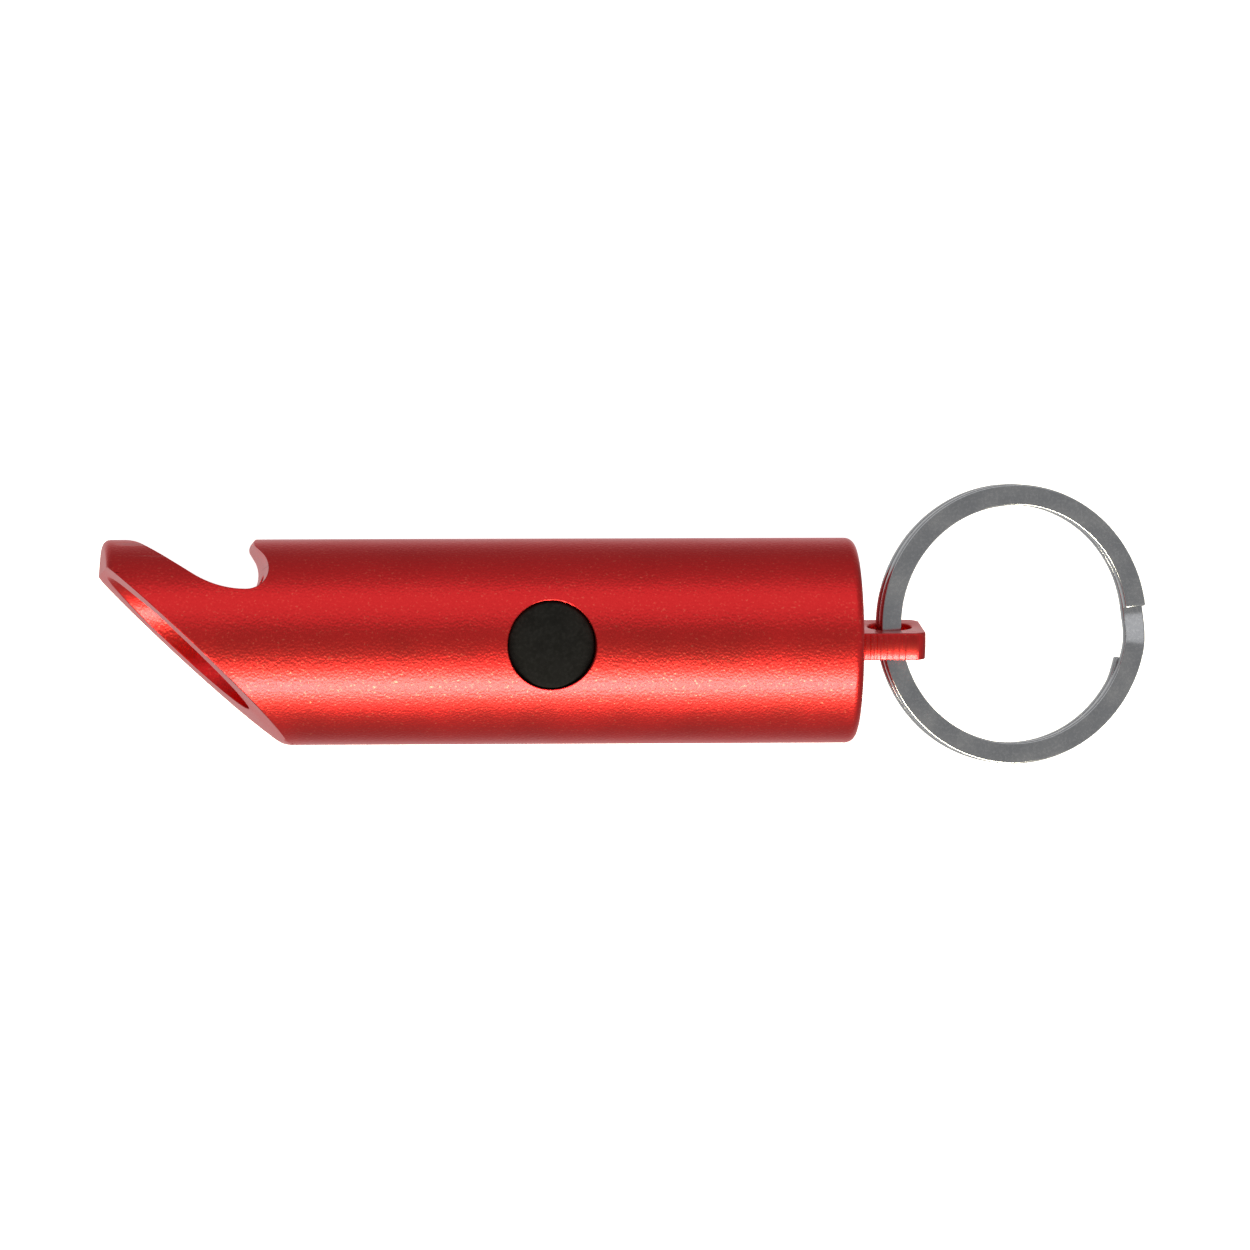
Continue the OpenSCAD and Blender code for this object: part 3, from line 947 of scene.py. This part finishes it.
@dataclass
class BarrelTube:
    """The red tube: its stepped bore, slanted mouth, opener notch and button hole."""

    radius: float = 9.0 * MM
    mouth_bore: float = 5.8 * MM
    body_bore: float = 6.3 * MM
    thread_bore: float = 6.9 * MM
    head_bore: float = 7.4 * MM
    shoulder_x: float = -17.0 * MM
    thread_x: float = 19.9 * MM
    head_depth: float = 1.25 * MM
    tip_edge: float = 0.7 * MM
    rear_edge: float = 0.9 * MM
    roll: float = 6.5
    mouth_angle: float = 43.4
    lip_height: float = 6.2 * MM
    heel: float = 1.8 * MM
    pocket: tuple[float, float] = (-26.6 * MM, 6.2 * MM)
    pocket_radius: float = 2.1 * MM
    ramp_angle: float = 35.0
    sweep: float = 8.0 * MM
    brow: float = 3.0 * MM
    undercut: float = 129.3
    tooth: float = 0.6 * MM
    button_hole: float = 3.9 * MM
    over: float = 1.0 * MM
    edge_bevel: float = 0.08 * MM
    bevel_from: float = 50.0
    crease: float = 40.0
    steps: int = 120
    phase: float = 0.2
    tip_x: float = field(init=False)
    rear_x: float = field(init=False)

    def __post_init__(self) -> None:
        """Takes the tube's two ends from the frame."""
        low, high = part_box("barrel")
        self.tip_x = low.x
        self.rear_x = high.x

    def blank(self) -> bpy.types.Object:
        """Turns the tube with its stepped bore and its two rounded rims."""
        tip_at = (self.radius - self.tip_edge, self.tip_x + self.tip_edge)
        tip = arc(tip_at, self.tip_edge, -90, 0, 6)
        rear_at = (self.radius - self.rear_edge, self.rear_x - self.rear_edge)
        rear = arc(rear_at, self.rear_edge, 0, 90, 8)
        bore = [
            (self.head_bore, self.rear_x),
            (self.head_bore, self.rear_x - self.head_depth),
            (self.thread_bore, self.rear_x - self.head_depth),
            (self.thread_bore, self.thread_x),
            (self.body_bore, self.thread_x),
            (self.body_bore, self.shoulder_x),
            (self.mouth_bore, self.shoulder_x),
            (self.mouth_bore, self.tip_x),
        ]
        return lathe("barrel_tube", tip + rear + bore, self.steps, closed=True, phase=self.phase)

    def mouth_cutter(self) -> bpy.types.Object:
        """Makes the block that cuts the slanted mouth and rounds its heel."""
        run = 1 / math.tan(math.radians(self.mouth_angle))
        heel_x = self.tip_x + (self.lip_height + self.radius) * run
        half = math.radians(self.mouth_angle)
        centre = (heel_x + self.heel * (1 - math.cos(half)) / math.sin(half), self.heel - self.radius)
        rounded = arc(centre, self.heel, 270 - self.mouth_angle, 258, 8)
        reach = 4 * MM
        front = self.tip_x - reach * run
        outline = [(front, self.lip_height + reach)] + rounded
        outline += [(rounded[-1][0], -self.radius - self.over), (front, -self.radius - self.over)]
        side = self.radius + self.over
        return self.rolled(prism("mouth_cutter", outline, -side, side))

    def notch_cutter(self) -> bpy.types.Object:
        """Makes the block that cuts the opener: brow, ramp, sweep, pocket, undercut and tooth."""
        ramp = math.radians(self.ramp_angle)
        x, y = self.pocket
        sweep_y = y - self.pocket_radius + self.sweep
        drop = self.radius - sweep_y + self.sweep * math.cos(ramp)
        top_x = x - self.sweep * math.sin(ramp) - drop / math.tan(ramp)
        brow_x = top_x - self.brow * math.tan(ramp / 2)
        out = math.radians(self.undercut - 90)
        tooth_y = self.radius - self.tooth
        start = (x + self.pocket_radius * math.cos(out), y + self.pocket_radius * math.sin(out))
        tooth_x = start[0] + (self.tooth - (tooth_y - start[1]) * math.sin(out)) / math.cos(out)
        turn_out = math.degrees(out)
        outline = arc((brow_x, self.radius - self.brow), self.brow, 80, 90 - self.ramp_angle, 8)
        outline += arc((x, sweep_y), self.sweep, 270 - self.ramp_angle, 266, 10)
        outline += arc((x, y), self.pocket_radius, 270, 360 + turn_out, 24)
        outline += arc((tooth_x, tooth_y), self.tooth, 180 + turn_out, 103, 12)
        outline += [(outline[-1][0], self.radius + self.over), (outline[0][0], self.radius + self.over)]
        side = self.radius + self.over
        return self.rolled(prism("notch_cutter", outline, -side, side))

    def rolled(self, cutter: bpy.types.Object) -> bpy.types.Object:
        """Turns a cutter about the barrel, away from the button."""
        turn(cutter, -self.roll, "X", Vector((0, 0, 0)))
        return cutter

    def hole_cutter(self) -> bpy.types.Object:
        """Makes the drill for the button's hole."""
        outline = [(0, 0), (self.button_hole, 0), (self.button_hole, self.radius + self.over)]
        outline.append((0, self.radius + self.over))
        return lathe("hole_cutter", outline, 96, closed=False, axis="Z")

    def keep_inside(self, tube: bpy.types.Object) -> None:
        """Draws any corner that a bevel pushed out of the blank back onto the blank.

        Args:
            tube: The cut and softened tube.
        """
        for vertex in tube.data.vertices:
            reach = math.hypot(vertex.co.y, vertex.co.z)
            if reach > self.radius:
                vertex.co.y *= self.radius / reach
                vertex.co.z *= self.radius / reach
            vertex.co.x = max(vertex.co.x, self.tip_x)
        tube.data.update()

    def build(self) -> bpy.types.Object:
        """Cuts, softens and dresses the tube.

        Returns:
            The finished tube.
        """
        tube = self.blank()
        cut(tube, [self.mouth_cutter(), self.notch_cutter(), self.hole_cutter()])
        soften(tube, self.edge_bevel, 1, self.bevel_from)
        self.keep_inside(tube)
        smooth(tube, self.crease)
        true_round(tube, [self.radius, self.mouth_bore, self.body_bore])
        return stand_for(tube, RED_ANODISED, "barrel", "barrel")


@dataclass
class PushButton:
    """The rubber button, with its crowned head, hollow and flange."""

    head: float = 3.8 * MM
    hollow: float = 3.0 * MM
    boss: float = 1.65 * MM
    edge: float = 0.3 * MM
    crown: float = 0.25 * MM
    wall: float = 1.2 * MM
    flange: float = 4.5 * MM
    flange_top: float = 4.3 * MM
    flange_thick: float = 0.85 * MM

    def build(self) -> bpy.types.Object:
        """Turns and dresses the button.

        Returns:
            The finished button.
        """
        low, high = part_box("rubber_button")
        rim_z = high.z - self.crown
        crown_edge = self.head - self.edge
        ball = (crown_edge**2 / self.crown + self.crown) / 2
        half = math.degrees(math.asin(crown_edge / ball))
        outline = [(0, low.z), (self.boss, low.z), (self.boss, rim_z - self.wall)]
        outline += [(self.hollow, rim_z - self.wall), (self.hollow, self.flange_top - self.flange_thick)]
        outline += [(self.flange, self.flange_top - self.flange_thick), (self.flange, self.flange_top)]
        outline += [(self.head, self.flange_top)]
        outline += arc((crown_edge, rim_z - self.edge), self.edge, 0, 90 - half, 6)
        outline += arc((0, high.z - ball), ball, 90 - half, 90, 10)[1:]
        button = lathe("push_button", outline, 128, closed=False, axis="Z")
        smooth(button, 40)
        return stand_for(button, BUTTON_RUBBER, "rubber_button", "button")


@dataclass
class EndPlug:
    """The screw plug with its thread, its seal groove and the drilled lug."""

    root: float = 6.3 * MM
    crest: float = 6.8 * MM
    head: float = 7.3 * MM
    head_thick: float = 1.25 * MM
    groove: float = 6.0 * MM
    groove_half: float = 0.53 * MM
    recess: float = 4.6 * MM
    recess_depth: float = 1.5 * MM
    pitch: float = 1.0 * MM
    turns: float = 3.6
    thread_half: float = 0.42 * MM
    thread_start: float = 0.5 * MM
    thread_sunk: float = 0.1 * MM
    crest_half: float = 0.07 * MM
    lead_in: float = 0.3 * MM
    rim_edge: float = 0.2 * MM
    body_edge: float = 0.05 * MM
    lug_edge: float = 0.14 * MM
    stub: float = 3.7 * MM
    stub_edge: float = 1.0 * MM
    lug_half: float = 1.2 * MM
    lug_turn: float = 8.0
    hole: float = 1.95 * MM
    hole_reach: float = 3.1 * MM
    mark_pitch: float = 0.55 * MM
    mark_depth: float = 0.06 * MM
    rear_x: float = field(init=False)
    front_x: float = field(init=False)
    end_x: float = field(init=False)

    def __post_init__(self) -> None:
        """Takes the plug's ends from the frame."""
        low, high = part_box("end_plug")
        self.front_x = low.x
        self.end_x = high.x
        self.rear_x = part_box("barrel")[1].x

    def core(self) -> bpy.types.Object:
        """Turns the plug's body: spring recess, thread root, seal groove and head."""
        seal_low, seal_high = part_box("plug_o_ring")
        seal_x = (seal_low.x + seal_high.x) / 2
        low, high = seal_x - self.groove_half, seal_x + self.groove_half
        outline = [
            (0, self.front_x + self.recess_depth),
            (self.recess, self.front_x + self.recess_depth),
            (self.recess, self.front_x),
            (self.root - self.lead_in, self.front_x),
            (self.root, self.front_x + self.lead_in),
            (self.root, low),
            (self.groove, low),
            (self.groove, high),
            (self.head, high),
            (self.head, self.rear_x - self.rim_edge),
            (self.head - self.rim_edge, self.rear_x),
            (0, self.rear_x),
        ]
        return lathe("end_plug_body", outline, 128, closed=False)

    def thread(self) -> bpy.types.Object:
        """Winds the thread: a small triangle drawn in one plane and screwed along the plug."""
        start = self.front_x + self.thread_start
        foot = self.root - self.thread_sunk
        points = [
            Vector((start - self.thread_half, 0, foot)),
            Vector((start - self.crest_half, 0, self.crest)),
            Vector((start + self.crest_half, 0, self.crest)),
            Vector((start + self.thread_half, 0, foot)),
        ]
        ridge = draw_wire("thread_ridge", points, closed=True)
        bpy.ops.object.mode_set(mode="OBJECT")
        apply_modifier(
            ridge,
            "SCREW",
            axis="X",
            angle=2 * math.pi * self.turns,
            screw_offset=self.pitch * self.turns,
            steps=round(72 * self.turns),
            render_steps=round(72 * self.turns),
            use_merge_vertices=False,
            use_smooth_shade=False,
        )
        activate(ridge)
        bpy.ops.object.mode_set(mode="EDIT")
        bpy.ops.mesh.select_all(action="SELECT")
        bpy.ops.mesh.fill_holes(sides=8)
        close_up()
        return ridge

    def lug(self) -> bpy.types.Object:
        """Turns the stub with its tool marks, mills two flats and drills the hole."""
        marks = []
        x = self.rear_x + self.mark_pitch / 2
        last = self.end_x - self.stub_edge
        while x + self.mark_pitch < last:
            marks += [(self.stub, x), (self.stub - self.mark_depth, x + self.mark_pitch * 0.25)]
            marks += [(self.stub, x + self.mark_pitch * 0.5)]
            x += self.mark_pitch
        outline = [(0, self.rear_x - 0.5 * MM), (self.stub, self.rear_x - 0.5 * MM)] + marks
        outline += arc((self.stub - self.stub_edge, last), self.stub_edge, 0, 90, 8)
        outline += [(0, self.end_x)]
        stub = lathe("lug_stub", outline, 144, closed=False)
        cutters = []
        side = 2 * self.stub
        for way in (-1, 1):
            inner, outer = sorted((way * self.lug_half, way * side))
            corners = [(self.rear_x - MM, inner), (self.end_x + MM, inner)]
            corners += [(self.end_x + MM, outer), (self.rear_x - MM, outer)]
            cutters.append(prism("flat_cutter", corners, -side, side))
        cut(stub, cutters + [self.drill()])
        soften(stub, self.lug_edge, 3, 40)
        turn(stub, self.lug_turn, "X", Vector((0, 0, 0)))
        return stub

    def drill(self) -> bpy.types.Object:
        """Makes the drill for the lug's hole, across the flats."""
        length = 3 * self.lug_half
        outline = [(0, -length), (self.hole, -length), (self.hole, length), (0, length)]
        drill = lathe("lug_drill", outline, 72, closed=False, axis="Z")
        turn(drill, -90, "X", Vector((0, 0, 0)))
        drill.data.transform(Matrix.Translation((self.rear_x + self.hole_reach, 0, 0)))
        return drill

    def build(self) -> bpy.types.Object:
        """Joins and dresses the plug.

        Returns:
            The finished plug.
        """
        core = self.core()
        soften(core, self.body_edge, 2, 40)
        plug = join([core, self.thread(), self.lug()])
        plug.name = "screw_plug"
        plug.data.name = "screw_plug"
        smooth(plug, 35)
        return stand_for(plug, RED_TURNED, "end_plug", "plug")


@dataclass
class SplitRing:
    """The flat split ring: one strip wound twice round, crossing from coil to coil."""

    radius: float = 12.3 * MM
    width: float = 1.85 * MM
    thick: float = 0.93 * MM
    gap: float = 0.04 * MM
    end_angle: float = 7.0
    cross_angle: float = 19.0
    droop: float = 11.5
    offset: float = 1.3 * MM
    step: float = 2.0
    inner_pull: float = 0.2 * MM
    tail: float = 14.0
    short: float = 5.0
    edge: float = 0.15 * MM
    at: float = field(init=False, default=0.0)
    lug_x: float = field(init=False)

    def __post_init__(self) -> None:
        """Takes the hole's place from the frame's joints."""
        self.lug_x = joint_pivot("ring_swing")[0]

    def wind(self, angle: float, lift: float, pull: float) -> None:
        """Winds the selected end of the strip on, one small step at a time.

        Args:
            angle: The angle to wind, in degrees.
            lift: How far it moves along the ring's axis on the way.
            pull: How far it moves towards the ring's middle on the way.
        """
        steps = max(1, round(angle / self.step))
        axis = (0, 0, -1)
        if not lift and not pull:
            bpy.ops.mesh.spin(steps=steps, angle=math.radians(angle), center=(0, 0, 0), axis=axis)
            self.at += angle
            return
        done = 0.0
        for i in range(1, steps + 1):
            t = i / steps
            share = t * t * (3 - 2 * t)
            bpy.ops.mesh.spin(steps=1, angle=math.radians(angle / steps), center=(0, 0, 0), axis=axis)
            self.at += angle / steps
            inward = -(share - done) * pull
            way = math.radians(self.at)
            shift = (inward * math.cos(way), inward * math.sin(way), (share - done) * lift)
            bpy.ops.transform.translate(value=shift)
            done = share

    def strip(self) -> bpy.types.Object:
        """Winds the strip round twice, flat, about the origin."""
        inner = self.radius - self.width
        low = self.gap / 2
        section = [(inner, low), (self.radius, low), (self.radius, low + self.thick)]
        section.append((inner, low + self.thick))
        start = math.radians(self.end_angle)
        across, along = math.cos(start), math.sin(start)
        points = [Vector((r * across, r * along, z)) for r, z in section]
        ring = draw_wire("split_ring_strip", points, closed=True)
        self.at = self.end_angle
        coil = 360 - self.cross_angle
        self.wind(coil, 0, 0)
        self.wind(self.cross_angle, -(self.thick + self.gap), 0)
        self.wind(coil - self.tail - self.short, 0, 0)
        self.wind(self.tail, 0, self.inner_pull)
        bpy.ops.mesh.select_all(action="SELECT")
        bpy.ops.mesh.fill_holes(sides=4)
        close_up()
        return ring

    def build(self) -> bpy.types.Object:
        """Winds, softens, places and dresses the ring.

        Returns:
            The finished ring.
        """
        ring = self.strip()
        soften(ring, self.edge, 3, 40)
        middle = self.radius - self.width / 2
        aim = math.asin(self.offset / middle)
        ring.data.transform(Matrix.Translation((middle * math.cos(aim), self.offset, 0)))
        turn(ring, self.droop, "Y", Vector((0, 0, 0)))
        ring.data.transform(Matrix.Translation((self.lug_x, 0, 0)))
        smooth(ring, 30)
        return stand_for(ring, RING_NICKEL, "split_ring", "ring")


@dataclass
class LampModule:
    """What shows at the bottom of the mouth: gasket, window, reflector and lamp."""

    lens: float = 2.5 * MM
    flange: float = 2.9 * MM
    throat: float = 2.6 * MM
    bowl: float = 5.4 * MM
    edge: float = 0.15 * MM
    gasket_bore: float = 5.6 * MM

    def window(self) -> bpy.types.Object:
        """Turns the clear window with chamfered rims."""
        low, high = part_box("front_window")
        outline = [(0, low.x), (high.y - self.edge, low.x), (high.y, low.x + self.edge)]
        outline += [(high.y, high.x - self.edge), (high.y - self.edge, high.x), (0, high.x)]
        piece = lathe("clear_window", outline, 128, closed=False)
        smooth(piece)
        return stand_for(piece, CLEAR_ACRYLIC, "front_window", "barrel")

    def reflector(self) -> bpy.types.Object:
        """Turns the metallised bowl on its parabola."""
        low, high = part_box("reflector")
        outline = [(high.y, low.x), (high.y, high.x)]
        for i in range(25):
            share = i / 24
            radius = math.sqrt(self.throat**2 + (self.bowl**2 - self.throat**2) * share)
            outline.append((radius, high.x - (high.x - low.x) * share))
        piece = lathe("metallised_reflector", outline, 128, closed=True)
        smooth(piece)
        return stand_for(piece, MIRROR, "reflector", "barrel")

    def lamp(self) -> bpy.types.Object:
        """Turns the lamp's clear lens with its flange and dome."""
        low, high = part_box("led_lens")
        outline = [(0, high.x), (self.flange, high.x), (self.flange, high.x - MM)]
        outline.append((self.lens, high.x - MM))
        outline += arc((0, low.x + self.lens), self.lens, 0, -90, 18)
        piece = lathe("lamp_lens", outline, 96, closed=False)
        smooth(piece)
        return stand_for(piece, CLEAR_EPOXY, "led_lens", "barrel")

    def gasket(self) -> bpy.types.Object:
        """Turns the window's gasket with a rounded inner lip."""
        low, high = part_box("window_gasket")
        half = (high.x - low.x) / 2
        middle = (high.x + low.x) / 2
        lip = self.gasket_bore + half
        outline = [(high.y, low.x), (high.y, high.x)] + arc((lip, middle), half, 90, 270, 10)
        piece = lathe("gasket_ring", outline, 128, closed=True)
        smooth(piece, 60)
        return stand_for(piece, SEAL_RUBBER, "window_gasket", "barrel")

    def build(self) -> list[bpy.types.Object]:
        """Builds all of the module's visible pieces.

        Returns:
            The pieces.
        """
        return [self.window(), self.reflector(), self.lamp(), self.gasket()]


@dataclass
class InnerParts:
    """The hidden parts, which keep the frame's own shapes and get real finishes."""

    finishes: dict[str, Finish] = field(
        default_factory=lambda: {
            "switch_plunger": BLACK_PLASTIC,
            "switch_dome": BRIGHT_STEEL,
            "switch_housing": BLACK_PLASTIC,
            "switch_cover_plate": BRIGHT_STEEL,
            "switch_legs": TINNED_STEEL,
            "circuit_board": BOARD_GREEN,
            "chip_resistor": RESISTOR,
            "solder_joints": SOLDER,
            "module_carrier": WHITE_PLASTIC,
            "ground_spring": BRASS_STRIP,
            "front_contact": BRASS_STRIP,
            "led_leadframe": TINNED_STEEL,
            "led_die": PHOSPHOR,
            "cell_sleeve": CARD,
            "contact_spring": SPRING_WIRE,
            "plug_o_ring": SEAL_RUBBER,
        }
    )
    cell_finishes: dict[str, Finish] = field(
        default_factory=lambda: {
            "cell_can": CELL_STEEL,
            "cell_cap": CELL_STEEL,
            "cell_grommet": CELL_NYLON,
            "cell_core": CELL_CHARGE,
        }
    )
    cells: int = 3

    def dress(self, nodes: dict[str, bpy.types.Object]) -> None:
        """Dresses each hidden node.

        Args:
            nodes: The frame's nodes by name.
        """
        wanted = dict(self.finishes)
        for number in range(1, self.cells + 1):
            for part, finish in self.cell_finishes.items():
                wanted[f"{part}_{number}"] = finish
        for name, finish in wanted.items():
            node = nodes[name]
            node.data.materials.clear()
            node.data.materials.append(finish.build())
            LOG.info("%s keeps its shape in %s", name, finish.name)


# ---------------------------------------------------------------------------
# Studio
# ---------------------------------------------------------------------------


@dataclass(frozen=True)
class Softbox:
    """One rectangular soft light that faces the barrel."""

    name: str
    place: Triple
    size: tuple[float, float]
    power: float
    colour: Colour = (1.0, 1.0, 1.0)

    def hang(self) -> bpy.types.Object:
        """Makes the light and turns its face to the origin.

        Returns:
            The light's object.
        """
        data = bpy.data.lights.new(self.name, "AREA")
        data.shape = "RECTANGLE"
        data.size, data.size_y = self.size
        data.energy = self.power
        data.color = self.colour
        lamp = bpy.data.objects.new(self.name, data)
        bpy.context.scene.collection.objects.link(lamp)
        place = Vector(self.place)
        back = place.normalized()
        up = back.cross(Vector((1, 0, 0))).normalized()
        right = up.cross(back)
        turned = Matrix((right, up, back)).transposed()
        lamp.matrix_world = Matrix.Translation(place) @ turned.to_4x4()
        return lamp


@dataclass
class Studio:
    """The pale floor, the soft lights and the camera."""

    floor_size: float = 3.0
    floor_colour: Colour = (0.90, 0.90, 0.90)
    floor_glow: float = 0.85
    sky: Outline = field(
        default_factory=lambda: [
            (-1.0, 0.66),
            (-0.92, 0.60),
            (-0.8, 0.42),
            (-0.55, 0.27),
            (-0.2, 0.31),
            (0.1, 0.38),
            (0.6, 0.42),
            (0.85, 0.32),
            (1.0, 0.26),
        ]
    )
    softboxes: tuple[Softbox, ...] = (
        Softbox("key", (-0.02, -0.375, 0.33), (0.6, 0.13), 6.2, (1.0, 0.93, 0.70)),
        Softbox("fill", (0.0, 0.35, 0.35), (0.9, 0.4), 0.45),
    )
    camera_lens: float = 400.0
    camera_distance: float = 1.217
    camera_yaw: float = 5.5
    camera_pitch: float = 2.2
    target: Triple = (0.0072, 0.0014, 0.0)

    def floor(self) -> None:
        """Lays the floor under the barrel."""
        low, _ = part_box("barrel")
        deselect()
        bpy.ops.mesh.primitive_plane_add(size=self.floor_size, location=(0, 0, low.z))
        floor = bpy.context.object
        floor.name = "floor"
        material = bpy.data.materials.new("floor_paper")
        material.use_nodes = True
        bench = NodeBench(material)
        bench.shader.inputs["Base Color"].default_value = (*self.floor_colour, 1.0)
        bench.set("Roughness", 0.9)
        bench.shader.inputs["Emission Color"].default_value = (1.0, 1.0, 1.0, 1.0)
        bench.set("Emission Strength", self.floor_glow)
        floor.data.materials.append(material)
        floor.visible_glossy = False

    def camera(self) -> None:
        """Sets the camera high over the barrel, a little to the mouth's side."""
        data = bpy.data.cameras.new("camera")
        data.lens = self.camera_lens
        data.clip_start = 0.01
        data.clip_end = 20.0
        camera = bpy.data.objects.new("camera", data)
        bpy.context.scene.collection.objects.link(camera)
        yaw, pitch = math.radians(self.camera_yaw), math.radians(self.camera_pitch)
        back = Vector(
            (-math.sin(yaw) * math.cos(pitch), math.sin(pitch), math.cos(yaw) * math.cos(pitch))
        )
        up = Vector((0, 1, 0))
        right = up.cross(back).normalized()
        up = back.cross(right)
        turned = Matrix((right, up, back)).transposed()
        camera.matrix_world = Matrix.Translation(
            Vector(self.target) + back * self.camera_distance
        ) @ turned.to_4x4()
        bpy.context.scene.camera = camera

    def lights(self) -> None:
        """Hangs the soft lights under a pale sky."""
        for softbox in self.softboxes:
            softbox.hang()
        world = bpy.data.worlds.new("pale_sky")
        bpy.context.scene.world = world
        world.use_nodes = True
        tree = world.node_tree
        sky = tree.nodes["Background"]
        place = tree.nodes.new("ShaderNodeTexCoord")
        split = tree.nodes.new("ShaderNodeSeparateXYZ")
        tree.links.new(place.outputs["Generated"], split.inputs["Vector"])
        height = tree.nodes.new("ShaderNodeMapRange")
        height.inputs["From Min"].default_value = -1.0
        tree.links.new(split.outputs["Z"], height.inputs["Value"])
        ramp = tree.nodes.new("ShaderNodeValToRGB")
        ramp.color_ramp.interpolation = "EASE"
        stops = ramp.color_ramp.elements
        while len(stops) < len(self.sky):
            stops.new(0.5)
        for stop, (z, grey) in zip(stops, self.sky, strict=True):
            stop.position = (z + 1) / 2
            stop.color = (grey, grey, grey, 1.0)
        tree.links.new(height.outputs["Result"], ramp.inputs["Fac"])
        tree.links.new(ramp.outputs["Color"], sky.inputs["Color"])
        sky.inputs["Strength"].default_value = 1.0

    def build(self) -> None:
        """Builds the stage and sets plain colour handling."""
        self.floor()
        self.lights()
        self.camera()
        scene = bpy.context.scene
        scene.view_settings.view_transform = "Standard"
        scene.view_settings.look = "None"
        LOG.info("studio set")


# ---------------------------------------------------------------------------
# Main
# ---------------------------------------------------------------------------


def corners(bounds: tuple[Vector, Vector]) -> list[list[float]]:
    """A box's two corners as plain lists."""
    return [list(bounds[0]), list(bounds[1])]


def main() -> None:
    """Builds the pieces in order."""
    logging.basicConfig(level=logging.INFO, format="%(name)s: %(message)s")
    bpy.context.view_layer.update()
    builders: list[Callable[[], object]] = [
        BarrelTube().build,
        PushButton().build,
        EndPlug().build,
        SplitRing().build,
        LampModule().build,
    ]
    for build in builders:
        build()
    InnerParts().dress(FRAME["nodes"])
    Studio().build()


if __name__ == "__main__":
    main()
